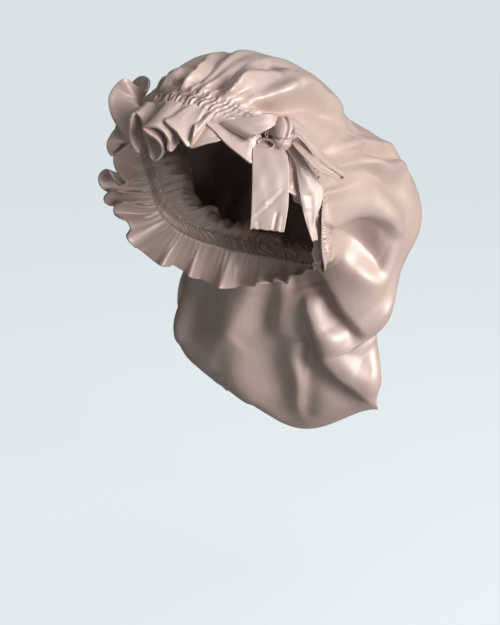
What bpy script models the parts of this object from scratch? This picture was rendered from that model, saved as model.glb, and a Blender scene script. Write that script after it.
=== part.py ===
"""Satin sleep bonnet: a gathered crown that runs into a long hanging bag, a puckered
elastic casing round the head opening, a ruffle below it and a ribbon tied in a bow.

The wearer faces -Y, +X is the wearer's left and +Z is up. The origin is the middle
of the head opening, where the head sits. Tables are in millimetres.
"""

import math

import bmesh
import bpy
import numpy as np

MM = 0.001

# ---- Driving dimensions, in millimetres ---------------------------------------------
CLOTH_WALL = 1.2
RIBBON_WALL = 0.9
CASING_WALL = 1.4
FRILL_SEAM_GAP = 0.9
CROWN_SEAM_GAP = 1.3
CASING_WIDTH = 13.0
FRILL_WIDTH = 42.0
RIBBON_GAP = 3.4
PUFF = 4.0
GATHER = 1.6
PUCKER = 0.9
LEAF_CREASE = 0.8
TAIL_FRONT_CREASE = 1.0
TAIL_BACK_CREASE = 1.5
KNOT_GROOVE_SHARE = 0.10

# The casing rises by this much for each millimetre towards the wearer's right.
ASKEW = 0.10

# The head as an ellipsoid, which gives the casing its slant.
HEAD_CENTRE = (0.0, 2.0, 5.0)
HEAD_HALF_SIZES = (75.0, 93.0, 96.0)

# Sides of the polygon that the three sewn pieces share, so that they meet side to side.
BAND_SIDES = 56
CROWN_ROWS = 24
CASING_ROWS = 3
CASING_SIDES = 2 * BAND_SIDES
FRILL_SIDES = 2 * BAND_SIDES
FRILL_ROWS = 4

# Stations of the crown: where its sections take over from the casing's edge, and where
# and how widely it puffs out above the casing.
BLEND_STATION = 0.30
PUFF_STATION = 0.06
PUFF_SPREAD = 0.04
# Rows of the crown stand closer together near the casing by this power.
ROW_POWER = 1.08

# ---- Tables -------------------------------------------------------------------------
# Middle line of the casing, from the forehead round the wearer's left side to the nape.
BAND_COLUMNS = ("degrees", "x", "y", "z")
BAND = (
    (0.0, 0.0, -89.0, 70.0),
    (22.5, 32.0, -82.0, 65.5),
    (45.0, 58.0, -60.0, 52.5),
    (67.5, 72.0, -34.0, 31.0),
    (90.0, 76.5, -10.0, 2.0),
    (112.5, 74.5, 5.0, -28.0),
    (135.0, 65.0, 32.0, -49.0),
    (157.5, 38.0, 62.0, -61.0),
    (180.0, 0.0, 76.0, -64.0),
)

# One row for each cross-section of the crown and bag, from the gathered edge to the
# bottom seam. top is the middle of the crown and back, under the side by the nape, and
# middle_x is where the section is centred, because the bag droops to the wearer's right.
# squareness is the power of the section's rounded outline (2 is an ellipse), and
# corner_rise lifts the two sides above the middle.
SECTION_COLUMNS = (
    "station", "top_y", "top_z", "under_y", "under_z",
    "half_width", "middle_x", "squareness", "corner_rise",
)
SECTIONS = (
    (0.00, -83.0, 76.0, 80.0, -55.0, 77.0, 0.0, 2.0, 0.0),
    (0.05, -79.0, 88.0, 90.0, -51.0, 74.0, 0.0, 2.0, 0.0),
    (0.11, -66.0, 98.0, 99.0, -58.0, 74.0, 0.0, 2.0, 0.0),
    (0.18, -32.0, 106.0, 102.0, -70.0, 76.0, 0.0, 2.0, 0.0),
    (0.25, 10.0, 108.0, 103.0, -83.0, 81.0, 0.0, 2.05, 0.0),
    (0.32, 53.0, 99.0, 103.0, -97.0, 88.0, 0.0, 2.15, 0.0),
    (0.39, 86.0, 75.0, 103.0, -110.0, 93.0, 0.0, 2.3, 0.0),
    (0.44, 112.0, 59.0, 103.0, -121.0, 98.0, -1.0, 2.3, 0.0),
    (0.51, 156.0, 50.0, 103.0, -134.0, 107.0, -3.0, 2.3, 0.0),
    (0.58, 192.0, 27.0, 103.0, -146.0, 114.0, -6.0, 2.3, 0.0),
    (0.65, 202.0, -10.0, 104.0, -156.0, 112.0, -14.0, 2.3, 0.0),
    (0.72, 176.0, -54.0, 106.0, -168.0, 105.0, -25.0, 2.3, 1.0),
    (0.80, 150.0, -100.0, 109.0, -184.0, 104.0, -30.0, 2.4, 4.0),
    (0.88, 146.0, -148.0, 114.0, -204.0, 99.0, -24.0, 2.6, 11.0),
    (0.95, 138.0, -200.0, 122.0, -226.0, 84.0, -11.0, 2.8, 20.0),
    (1.00, 130.5, -240.0, 130.5, -240.0, 78.0, 0.0, 3.0, 28.0),
)

# Folds pressed into the crown and bag. Each runs along a bent line from start through
# middle to end, in turns round the section (0 at the top, 0.25 at the wearer's left)
# and stations along the cloth. A height above 0 is a ridge, below 0 a valley.
FOLD_COLUMNS = (
    "start_turn", "start_station", "middle_turn", "middle_station",
    "end_turn", "end_station", "width", "height",
)
FOLDS = (
    (0.055, 0.02, 0.065, 0.13, 0.150, 0.26, 9.0, 5.0),
    (0.070, 0.02, 0.090, 0.08, 0.140, 0.17, 7.0, -4.0),
    (0.100, 0.02, 0.130, 0.09, 0.175, 0.24, 8.0, 4.5),
    (0.935, 0.02, 0.985, 0.12, 0.020, 0.26, 8.0, 4.0),
    (0.960, 0.02, 0.010, 0.10, 0.050, 0.22, 6.0, -3.5),
    (0.860, 0.03, 0.850, 0.15, 0.870, 0.30, 10.0, 4.5),
    (0.000, 0.390, 0.120, 0.370, 0.215, 0.200, 12.0, -6.0),
    (0.000, 0.390, 0.880, 0.370, 0.785, 0.200, 12.0, -6.0),
    (0.210, 0.06, 0.225, 0.25, 0.120, 0.50, 9.0, 6.0),
    (0.225, 0.07, 0.240, 0.28, 0.140, 0.50, 7.0, -5.0),
    (0.240, 0.09, 0.250, 0.30, 0.155, 0.52, 8.0, 5.0),
    (0.262, 0.05, 0.262, 0.28, 0.220, 0.55, 8.0, -5.0),
    (0.300, 0.05, 0.295, 0.25, 0.255, 0.47, 9.0, 6.0),
    (0.320, 0.05, 0.315, 0.25, 0.275, 0.47, 9.0, -6.0),
    (0.345, 0.03, 0.385, 0.20, 0.345, 0.50, 9.0, 6.0),
    (0.345, 0.15, 0.345, 0.36, 0.300, 0.47, 14.0, -9.0),
    (0.410, 0.06, 0.425, 0.35, 0.405, 0.62, 9.0, 7.0),
    (0.395, 0.25, 0.405, 0.50, 0.395, 0.70, 12.0, -8.0),
    (0.460, 0.10, 0.475, 0.60, 0.300, 0.93, 9.0, 6.0),
    (0.590, 0.06, 0.575, 0.35, 0.600, 0.68, 10.0, 7.0),
    (0.650, 0.06, 0.640, 0.28, 0.690, 0.50, 10.0, -6.0),
    (0.690, 0.05, 0.700, 0.27, 0.760, 0.52, 10.0, 6.0),
    (0.740, 0.05, 0.745, 0.28, 0.830, 0.52, 9.0, -5.0),
    (0.545, 0.30, 0.540, 0.65, 0.640, 0.92, 12.0, -6.0),
)

# The ruffle, round from the forehead over the wearer's left side. pitch tips it away
# from the head, wave is the height of its folds and length its depth against FRILL_WIDTH.
FRILL_COLUMNS = ("degrees", "pitch", "wave", "length")
FRILL = (
    (0.0, 36.0, 9.0, 0.84),
    (18.0, 24.0, 6.5, 0.70),
    (38.0, 6.0, 2.8, 0.64),
    (75.0, 8.0, 2.6, 0.64),
    (110.0, 12.0, 3.0, 0.62),
    (150.0, 30.0, 4.5, 0.70),
    (190.0, 36.0, 5.0, 0.74),
    (225.0, 34.0, 6.0, 0.78),
    (250.0, 58.0, 8.0, 0.82),
    (275.0, 82.0, 9.5, 0.84),
    (305.0, 86.0, 9.5, 0.68),
    (325.0, 78.0, 10.0, 0.66),
    (345.0, 50.0, 9.5, 0.78),
)
FRILL_FOLDS = 20
# Share of its depth over which the ruffle turns from the head to its pitch, the power by
# which its folds grow towards the free edge, and their lean along the casing.
FRILL_TURN_SHARE = 0.3
FRILL_WAVE_POWER = 1.2
FRILL_LEAN = 0.15

# Places sampled along a fold, how much a place lengthways counts against one sideways,
# and how weak a fold is at its two ends.
FOLD_SAMPLES = 13
FOLD_LENGTHWAYS = 0.6
FOLD_END = 0.08

# Ribbons are ruled between two edges. Each row is a place along the ribbon.
RIBBON_COLUMNS = ("station", "near_x", "near_y", "near_z", "far_x", "far_y", "far_z")
TAIL_FRONT = (
    (0.00, 62.6, -70.9, 44.0, 70.1, -68.2, 39.5),
    (0.12, 58.0, -87.0, 38.0, 76.0, -76.0, 34.0),
    (0.35, 56.5, -93.0, 21.0, 77.5, -76.5, 20.0),
    (0.70, 55.5, -91.5, 0.0, 77.0, -76.0, 0.0),
    (1.00, 54.0, -91.0, -20.0, 74.0, -77.0, -22.0),
)
TAIL_BACK = (
    (0.00, 69.5, -64.8, 36.8, 75.0, -57.5, 38.3),
    (0.20, 73.0, -62.0, 27.0, 79.5, -52.0, 28.0),
    (0.45, 76.0, -57.0, 14.0, 86.0, -40.0, 11.0),
    (0.62, 77.5, -55.0, 3.0, 88.0, -36.5, 2.0),
    (0.82, 81.0, -49.0, -20.0, 86.0, -40.0, -18.0),
    (1.00, 83.0, -46.0, -33.0, 85.5, -41.5, -32.0),
)
LOOP_FRONT = (
    (0.00, 63.4, -68.5, 55.8, 66.1, -70.9, 49.8),
    (0.30, 55.5, -77.5, 63.0, 61.0, -80.0, 51.0),
    (0.70, 41.5, -89.0, 60.0, 54.5, -85.0, 48.0),
    (1.00, 32.5, -98.0, 57.0, 51.5, -87.0, 46.0),
)
LOOP_BACK = (
    (0.00, 75.2, -51.5, 52.5, 77.4, -56.2, 44.5),
    (0.30, 84.0, -48.0, 43.0, 84.5, -54.0, 34.0),
    (0.70, 96.0, -39.0, 28.0, 94.5, -44.5, 21.5),
    (1.00, 104.0, -33.0, 18.0, 103.0, -37.0, 14.0),
)
# A loop's two leaves stand apart by RIBBON_GAP along this way.
LOOP_FRONT_OUT = (0.60, -0.55, 0.58)
LOOP_BACK_OUT = (0.60, -0.35, 0.72)

KNOT_CENTRE = (68.3, -61.0, 46.9)
KNOT_SIZES = (14.5, 20.0, 21.0)
KNOT_TURN_DEGREES = 38.0

# ---- Materials ----------------------------------------------------------------------
SATIN_COLOUR = (0.55, 0.38, 0.32, 1.0)
SATIN_ROUGHNESS = 0.38


def column(table, names, name):
    """One named column of a table, as an array."""
    return np.array(table, dtype=float)[:, names.index(name)]


def smooth(places, known, values):
    """A curve with even slopes through the values, read at the places."""
    slopes = np.gradient(values, known)
    index = np.clip(np.searchsorted(known, places, side="right") - 1, 0, len(known) - 2)
    span = known[index + 1] - known[index]
    t = (places - known[index]) / span
    return (
        (1 + 2 * t) * (1 - t) ** 2 * values[index]
        + t * (1 - t) ** 2 * span * slopes[index]
        + t * t * (3 - 2 * t) * values[index + 1]
        + t * t * (t - 1) * span * slopes[index + 1]
    )


def unit(vectors):
    """The vectors at length 1."""
    return vectors / np.maximum(np.linalg.norm(vectors, axis=-1, keepdims=True), 1e-9)


def across(vectors, line):
    """The part of each vector at right angles to its unit line, at length 1."""
    along = np.sum(vectors * line, axis=-1, keepdims=True)
    return unit(vectors - along * line)


def whole_round(table, names, mirrored):
    """The rows of a table round the head, three turns of them.

    A mirrored table holds the wearer's left half, whose x changes sign on the right.
    """
    rows = np.array(table, dtype=float)
    if mirrored:
        right = rows[-2:0:-1].copy()
        right[:, 0] = 360.0 - right[:, 0]
        right[:, names.index("x")] *= -1.0
        rows = np.vstack([rows, right])
    turn = np.zeros(rows.shape[1])
    turn[0] = 360.0
    return np.vstack([rows - turn, rows, rows + turn])


def band_points(turns):
    """Points on the casing's middle line, at turns round the head."""
    table = whole_round(BAND, BAND_COLUMNS, mirrored=True)
    degrees = np.mod(turns, 1.0) * 360.0
    x, y, z = (smooth(degrees, table[:, 0], table[:, i]) for i in (1, 2, 3))
    return np.stack([x, y, z - ASKEW * x], axis=-1)


def band_frame(count):
    """Corners of the casing's polygon, with the ways along it, to the face and out.

    With more corners than BAND_SIDES, the extra ones lie on the polygon's sides.
    """
    corners = np.arange(BAND_SIDES + 1) / BAND_SIDES
    step = 1e-3
    points = band_points(corners)
    along = unit(band_points(corners + step) - band_points(corners - step))
    radial = (points - HEAD_CENTRE) / np.square(HEAD_HALF_SIZES)
    out = across(radial, along)
    face = np.cross(along, out)
    turns = np.arange(count) / count
    sides = [
        np.stack([np.interp(turns, corners, part[:, i]) for i in range(3)], axis=-1)
        for part in (points, along, face, out)
    ]
    return turns, sides[0], unit(sides[1]), unit(sides[2]), unit(sides[3])


def crown_sections(turns, stations):
    """Points of the crown and bag before the casing and the folds shape them."""
    known = column(SECTIONS, SECTION_COLUMNS, "station")
    top_y, top_z, under_y, under_z, half_width, middle_x, power, rise = (
        smooth(stations, known, column(SECTIONS, SECTION_COLUMNS, name))
        for name in SECTION_COLUMNS[1:]
    )
    angle = 2 * np.pi * turns
    cos, sin = np.cos(angle), np.sin(angle)
    deep = np.sign(cos) * np.abs(cos) ** (2 / power)
    wide = np.sign(sin) * np.abs(sin) ** (2 / power)
    y = (top_y + under_y) / 2 + (top_y - under_y) / 2 * deep
    z = (top_z + under_z) / 2 + (top_z - under_z) / 2 * deep + rise * wide**2
    return np.stack([middle_x + half_width * wide, y, z], axis=-1)


def fold_line(fold, axis):
    """A fold's bent line along one axis: a quadratic curve through its three places."""
    start, middle, end = (fold[f"{place}_{axis}"] for place in ("start", "middle", "end"))
    if axis == "turn":
        middle = start + (middle - start + 0.5) % 1.0 - 0.5
        end = middle + (end - middle + 0.5) % 1.0 - 0.5
    t = np.linspace(0.0, 1.0, FOLD_SAMPLES)
    handle = 2 * middle - (start + end) / 2
    return (1 - t) ** 2 * start + 2 * t * (1 - t) * handle + t * t * end


def fold_height(turns, stations, girth, length):
    """How far the folds push the cloth out, in millimetres.

    Each fold is a bent line of samples, and its height falls off as a bell with the
    distance to the nearest sample, measured along the cloth.
    """
    total = np.zeros(turns.shape)
    places = np.linspace(FOLD_END, 1.0 - FOLD_END, FOLD_SAMPLES)
    strength = np.sqrt(np.sin(np.pi * places))
    for row in FOLDS:
        fold = dict(zip(FOLD_COLUMNS, row))
        best = np.zeros(turns.shape)
        for turn, station, share in zip(fold_line(fold, "turn"), fold_line(fold, "station"), strength):
            sideways = ((turns - turn + 0.5) % 1.0 - 0.5) * girth
            lengthways = (stations - station) * length * FOLD_LENGTHWAYS
            bell = np.exp(-(sideways**2 + lengthways**2) / (2 * fold["width"] ** 2))
            best = np.maximum(best, share * bell)
        total += fold["height"] * best
    return total


def surface_normals(grid):
    """Outward unit normals of a grid that is closed round its first axis."""
    round_way = np.roll(grid, -1, axis=0) - np.roll(grid, 1, axis=0)
    long_way = np.gradient(grid, axis=1)
    return unit(np.cross(round_way, long_way))


def crown_grid():
    """The cloth of the crown and bag, from the casing's upper edge to the bottom seam."""
    turns, band, _, face, _ = band_frame(BAND_SIDES)
    stations = np.linspace(0.0, 1.0, CROWN_ROWS) ** ROW_POWER
    turn_grid, station_grid = np.meshgrid(turns, stations, indexing="ij")
    grid = crown_sections(turn_grid, station_grid)

    # Near the casing the sections give way to its upper edge.
    edge = band - (CASING_WIDTH / 2 + CROWN_SEAM_GAP) * face
    reach = np.clip(1 - stations / BLEND_STATION, 0.0, 1.0)
    ease = (reach * reach * (3 - 2 * reach))[None, :, None]
    grid += (edge - grid[:, 0])[:, None, :] * ease

    girth = np.linalg.norm(np.roll(grid, -1, axis=0) - grid, axis=-1).sum(axis=0)
    length = np.linalg.norm(np.diff(grid, axis=1), axis=-1).sum(axis=1)
    push = fold_height(turn_grid, station_grid, girth[None, :], length[:, None])

    # Above the casing the cloth puffs out, and every other corner of the gathers stands
    # further out than its neighbours.
    gather = PUFF + GATHER * (-1.0) ** np.arange(BAND_SIDES)
    push += gather[:, None] * np.exp(-(((stations - PUFF_STATION) / PUFF_SPREAD) ** 2))[None, :]
    # Nothing is pushed at the sewn edge or at the bottom seam.
    free = np.sin(np.pi * np.clip(stations, 0.0, 1.0) ** 0.7) ** 0.35
    grid += surface_normals(grid) * (push * free[None, :])[..., None]
    return grid


def casing_grid():
    """The puckered casing, with both edges left on the shared polygon."""
    turns, band, _, face, out = band_frame(CASING_SIDES)
    places = np.linspace(0.5, -0.5, CASING_ROWS)
    grid = band[:, None, :] + places[None, :, None] * CASING_WIDTH * face[:, None, :]
    pucker = PUCKER * (1.0 + 0.6 * (-1.0) ** np.arange(len(turns)))
    bulge = 1 - (2 * places) ** 2
    return grid + out[:, None, :] * (pucker[:, None] * bulge[None, :])[..., None]


def frill_grid():
    """The ruffle: a wave whose height grows from the seam to the free edge.

    Its rows run away from the casing, so its wall thickens towards the head.
    """
    turns, band, along, face, out = band_frame(FRILL_SIDES)
    table = whole_round(FRILL, FRILL_COLUMNS, mirrored=False)
    degrees = turns * 360.0
    pitch, wave, length = (smooth(degrees, table[:, 0], table[:, i]) for i in (1, 2, 3))
    pitch = np.radians(pitch)[:, None]
    lean = np.cos(pitch) * face + np.sin(pitch) * out
    side = np.cos(pitch) * out - np.sin(pitch) * face
    phase = 2 * np.pi * FRILL_FOLDS * turns
    places = np.linspace(0.0, 1.0, FRILL_ROWS + 1)

    start = band + (CASING_WIDTH / 2 + FRILL_SEAM_GAP) * face
    depth = (length * FRILL_WIDTH)[:, None] * places[None, :]
    swing = (wave * np.sin(phase))[:, None] * places[None, :] ** FRILL_WAVE_POWER
    shift = (FRILL_LEAN * wave * np.sin(2 * phase))[:, None] * places[None, :]
    # The first stretch keeps to the head before the ruffle turns away from it.
    turned = np.clip(places / FRILL_TURN_SHARE, 0.0, 1.0)[None, :, None]
    way = unit(face[:, None, :] * (1 - turned) + lean[:, None, :] * turned)
    steps = np.diff(depth, axis=1, prepend=0.0)[..., None] * way
    return (
        start[:, None, :]
        + np.cumsum(steps, axis=1)
        + side[:, None, :] * swing[..., None]
        + along[:, None, :] * shift[..., None]
    )


def ribbon_grid(table, rows, columns, crease):
    """A ribbon ruled between its two edges, with soft lengthwise creases."""
    known = column(table, RIBBON_COLUMNS, "station")
    places = np.linspace(0.0, 1.0, rows)
    near, far = (
        np.stack(
            [
                smooth(places, known, column(table, RIBBON_COLUMNS, f"{edge}_{axis}"))
                for axis in ("x", "y", "z")
            ],
            axis=-1,
        )
        for edge in ("near", "far")
    )
    share = np.linspace(0.0, 1.0, columns)
    grid = near[:, None, :] * (1 - share)[None, :, None] + far[:, None, :] * share[None, :, None]
    normals = np.cross(np.gradient(grid, axis=0), np.gradient(grid, axis=1))
    bend = np.sin(2 * np.pi * share)[None, :] * np.sin(np.pi * places)[:, None]
    return grid + unit(normals) * (crease * bend)[..., None]


def loop_grid(table, out, rows, columns):
    """A bow loop: one leaf out from the knot, a tight turn, and one leaf back.

    The two leaves stand furthest apart in the middle of the loop, and the turn lies a
    little past the last row.
    """
    leaf = ribbon_grid(table, rows, columns, LEAF_CREASE)
    lift = np.array(out) / np.linalg.norm(out)
    swell = 0.8 + 0.5 * np.sin(np.pi * np.linspace(0.0, 1.0, rows) ** 0.8)
    offset = (RIBBON_GAP / 2 * swell)[:, None, None] * lift
    tip = leaf[-1] + 0.35 * (leaf[-1] - leaf[-2]) * RIBBON_GAP / 4
    return np.concatenate([leaf - offset, tip[None], (leaf + offset)[::-1]])


def cloth(name, grid, wall, closed_round, seam_row=False):
    """A cloth wall from a grid in millimetres, thickened on the side that faces out.

    closed_round joins the last row of the first axis to the first. seam_row sews the
    last place of the second axis shut by merging what meets there.
    """
    count, places = grid.shape[:2]
    mesh = bpy.data.meshes.new(name)
    built = bmesh.new()
    corners = [[built.verts.new(point) for point in row] for row in (grid * MM).tolist()]
    for i in range(count if closed_round else count - 1):
        here, there = corners[i], corners[(i + 1) % count]
        for j in range(places - 1):
            built.faces.new((here[j], there[j], there[j + 1], here[j + 1]))
    if seam_row:
        bmesh.ops.remove_doubles(built, verts=[row[-1] for row in corners], dist=0.1 * MM)
    built.to_mesh(mesh)
    built.free()
    mesh.shade_smooth()
    piece = bpy.data.objects.new(name, mesh)
    shell = piece.modifiers.new("wall", "SOLIDIFY")
    shell.thickness = wall * MM
    shell.offset = 1.0
    return piece


def knot():
    """The wrapped knot: an egg of ribbon with a slanting groove between its turns."""
    mesh = bpy.data.meshes.new("ribbon_knot")
    built = bmesh.new()
    bmesh.ops.create_uvsphere(built, u_segments=16, v_segments=9, radius=0.5)
    for corner in built.verts:
        x, y, z = corner.co
        groove = 1.0 - KNOT_GROOVE_SHARE * math.exp(-((3.0 * (y + 0.6 * z)) ** 2))
        wide, deep, tall = (size * MM for size in KNOT_SIZES)
        corner.co = (x * wide * groove, y * deep * groove, z * tall)
    built.to_mesh(mesh)
    built.free()
    mesh.shade_smooth()
    piece = bpy.data.objects.new("ribbon_knot", mesh)
    piece.location = [value * MM for value in KNOT_CENTRE]
    piece.rotation_euler = (0.0, 0.0, math.radians(-KNOT_TURN_DEGREES))
    return piece


def satin(name):
    """The satin of one piece."""
    material = bpy.data.materials.new(f"{name}_satin")
    material.use_nodes = True
    shader = material.node_tree.nodes["Principled BSDF"]
    shader.inputs["Base Color"].default_value = SATIN_COLOUR
    shader.inputs["Roughness"].default_value = SATIN_ROUGHNESS
    shader.inputs["Metallic"].default_value = 0.0
    return material


def clear_scene():
    """Removes every object of the scene."""
    for item in list(bpy.data.objects):
        bpy.data.objects.remove(item, do_unlink=True)


def build():
    """Makes each piece and puts it in the bonnet's collection."""
    clear_scene()
    tail_front = ribbon_grid(TAIL_FRONT, rows=9, columns=5, crease=TAIL_FRONT_CREASE)
    tail_back = ribbon_grid(TAIL_BACK, rows=11, columns=5, crease=TAIL_BACK_CREASE)
    loop_front = loop_grid(LOOP_FRONT, LOOP_FRONT_OUT, rows=6, columns=4)
    loop_back = loop_grid(LOOP_BACK, LOOP_BACK_OUT, rows=7, columns=4)
    pieces = [
        cloth("crown_bag", crown_grid(), CLOTH_WALL, closed_round=True, seam_row=True),
        cloth("gathered_casing", casing_grid(), CASING_WALL, closed_round=True),
        cloth("frill", frill_grid(), CLOTH_WALL, closed_round=True),
        cloth("ribbon_tail_front", tail_front, RIBBON_WALL, closed_round=False),
        cloth("ribbon_tail_back", tail_back, RIBBON_WALL, closed_round=False),
        cloth("bow_loop_front", loop_front, RIBBON_WALL, closed_round=False),
        cloth("bow_loop_back", loop_back, RIBBON_WALL, closed_round=False),
        knot(),
    ]
    collection = bpy.data.collections.new("sleep_bonnet")
    bpy.context.scene.collection.children.link(collection)
    for piece in pieces:
        collection.objects.link(piece)
        piece.data.materials.append(satin(piece.name))


build()
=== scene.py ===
"""Looks of a long satin sleep bonnet, built around its packed construction model.

The wearer faces -Y, +X is the wearer's left and +Z is up. The origin is the middle of
the head opening. Tables are in millimetres, and meshes are in metres.
"""

from __future__ import annotations

import logging
import math
from collections.abc import Sequence
from dataclasses import dataclass
from enum import Enum
from typing import NamedTuple

import bmesh
import bpy
import numpy as np
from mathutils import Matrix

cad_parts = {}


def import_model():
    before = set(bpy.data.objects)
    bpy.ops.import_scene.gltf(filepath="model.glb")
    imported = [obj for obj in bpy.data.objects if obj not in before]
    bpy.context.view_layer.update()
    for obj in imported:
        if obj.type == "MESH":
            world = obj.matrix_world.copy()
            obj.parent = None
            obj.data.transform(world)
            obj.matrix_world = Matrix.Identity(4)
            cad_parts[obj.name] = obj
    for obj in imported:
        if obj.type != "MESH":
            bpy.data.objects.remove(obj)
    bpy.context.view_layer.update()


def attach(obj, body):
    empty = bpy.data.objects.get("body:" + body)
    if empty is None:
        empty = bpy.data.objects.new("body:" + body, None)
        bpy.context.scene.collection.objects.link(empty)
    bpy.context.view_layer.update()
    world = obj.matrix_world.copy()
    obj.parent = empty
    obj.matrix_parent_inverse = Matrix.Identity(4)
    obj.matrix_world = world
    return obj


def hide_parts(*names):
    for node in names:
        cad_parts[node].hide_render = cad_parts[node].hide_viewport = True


LOG = logging.getLogger("bonnet")
MM = 0.001
WELD = 2e-6
BODY = "root"

Array = np.ndarray
Pair = tuple[float, float]
Triple = tuple[float, float, float]
Colour = tuple[float, float, float, float]


class Held(Enum):
    """How a sheet of cloth is held."""

    GATHERED = "gathered"
    HUNG = "hung"
    FOLDED = "folded"


class Crest(Enum):
    """The outline of a fold across its length."""

    ROUND = "round"
    SHARP = "sharp"


# ---- Arrays -------------------------------------------------------------------------
def columns(rows: Sequence[tuple]) -> dict[str, Array]:
    """Splits a table of named rows into its columns.

    Args:
        rows: Rows of one NamedTuple class.

    Returns:
        An array for each column, by name.
    """
    return {name: np.array([getattr(row, name) for row in rows], float) for name in rows[0]._fields}


def rows_of(kind: type, *rows: tuple[float, ...]) -> tuple:
    """Makes a table of rows of one NamedTuple class."""
    return tuple(kind(*row) for row in rows)


def smooth(places: Array, known: Array, values: Array) -> Array:
    """Reads a smooth curve through known values: a cubic Hermite with central slopes.

    Args:
        places: Where to read the curve.
        known: Rising places of the known values.
        values: The known values.

    Returns:
        The curve's values, in the shape of places.
    """
    slopes = np.gradient(values, known)
    index = np.clip(np.searchsorted(known, places, side="right") - 1, 0, len(known) - 2)
    span = known[index + 1] - known[index]
    t = (places - known[index]) / span
    return (
        (1 + 2 * t) * (1 - t) ** 2 * values[index]
        + t * (1 - t) ** 2 * span * slopes[index]
        + t * t * (3 - 2 * t) * values[index + 1]
        + t * t * (t - 1) * span * slopes[index + 1]
    )


def round_smooth(turns: Array, known: Array, values: Array) -> Array:
    """Reads a smooth curve that closes on itself after one turn.

    Args:
        turns: Where to read the curve, in turns.
        known: Rising places of the known values, in turns from 0 up to under 1.
        values: The known values.

    Returns:
        The curve's values, in the shape of turns.
    """
    places = np.concatenate([known - 1.0, known, known + 1.0])
    return smooth(np.mod(turns, 1.0), places, np.tile(values, 3))


def ease(share: Array) -> Array:
    """Rises smoothly from 0 to 1: 3t^2 - 2t^3 of the clipped share."""
    t = np.clip(share, 0.0, 1.0)
    return t * t * (3 - 2 * t)


def rise(places: Array, window: Pair) -> Array:
    """Eases from 0 to 1 over a window, given by its start and its length."""
    return ease((places - window[0]) / window[1])


def bump(places: Array, window: Pair, power: int = 2) -> Array:
    """A bump exp(-|d|^power) about a window's middle, with d in its half widths."""
    return np.exp(-(((places - window[0]) / window[1]) ** power))


def unit(vectors: Array) -> Array:
    """Scales each vector to length 1."""
    return vectors / np.maximum(np.linalg.norm(vectors, axis=-1, keepdims=True), 1e-12)


def across(vectors: Array, line: Array) -> Array:
    """Takes from each vector its share along a unit line, and scales the rest to length 1."""
    return unit(vectors - np.sum(vectors * line, axis=-1, keepdims=True) * line)


def wander(turns: Array, along: Array, seed: int, waves: int, rows: float) -> Array:
    """Smooth noise that closes round the turns: a sum of sines with seeded phases.

    Each sine is sin(2 pi (n turns + m along) + phase), where n is a whole number up to
    waves and m any number up to rows either way.

    Args:
        turns: Places round the head, in turns.
        along: Places along the cloth, in any unit.
        seed: Picks the waves and phases.
        waves: The most waves in one turn.
        rows: The most waves in one unit along.

    Returns:
        Noise of about -1 to 1.
    """
    draw = np.random.default_rng(seed)
    total = np.zeros(np.broadcast(turns, along).shape)
    count, highest = 9, 1.4
    for _ in range(count):
        n = draw.integers(1, waves + 1)
        m = draw.uniform(-rows, rows)
        total = total + np.sin(2 * np.pi * (n * turns + m * along + draw.uniform()))
    return total / math.sqrt(count) / highest


def grid_normals(grid: Array, closed: bool) -> Array:
    """Unit normals of a grid: the cross product of its two directions.

    Args:
        grid: Points, first axis round, second axis along.
        closed: Whether the first axis closes on itself.

    Returns:
        Normals in the shape of the grid.
    """
    if closed:
        first = np.roll(grid, -1, axis=0) - np.roll(grid, 1, axis=0)
    else:
        first = np.gradient(grid, axis=0)
    return unit(np.cross(first, np.gradient(grid, axis=1)))


# ---- Meshes -------------------------------------------------------------------------
class Patch(NamedTuple):
    """A grid of points in metres, and which of its two directions close on themselves."""

    grid: Array
    closed: bool = False
    looped: bool = False


def patch_faces(patch: Patch) -> tuple[Array, Array]:
    """Numbers a patch's faces and gives each corner its UV.

    The face at (i, j) joins the corners i, i + 1 and j, j + 1. The UV is the mean
    length round the grid up to i and the mean length along it up to j, in metres.

    Args:
        patch: The patch.

    Returns:
        Four vertex numbers for each face, and a UV for each of those corners.
    """
    grid = patch.grid
    count, places = grid.shape[:2]
    steps = count if patch.closed else count - 1
    rows = places if patch.looped else places - 1
    i, j = np.meshgrid(np.arange(steps), np.arange(rows), indexing="ij")
    corner_i = np.stack([i, i + 1, i + 1, i], axis=-1)
    corner_j = np.stack([j, j, j + 1, j + 1], axis=-1)
    faces = (corner_i % count) * places + corner_j % places
    round_step = np.linalg.norm(np.roll(grid, -1, axis=0) - grid, axis=-1).mean(axis=1)
    long_step = np.linalg.norm(np.roll(grid, -1, axis=1) - grid, axis=-1).mean(axis=0)
    round_way = np.concatenate([[0.0], np.cumsum(round_step)])
    long_way = np.concatenate([[0.0], np.cumsum(long_step)])
    uv = np.stack([round_way[corner_i], long_way[corner_j]], axis=-1)
    return faces.reshape(-1, 4), uv.reshape(-1, 4, 2)


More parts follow.
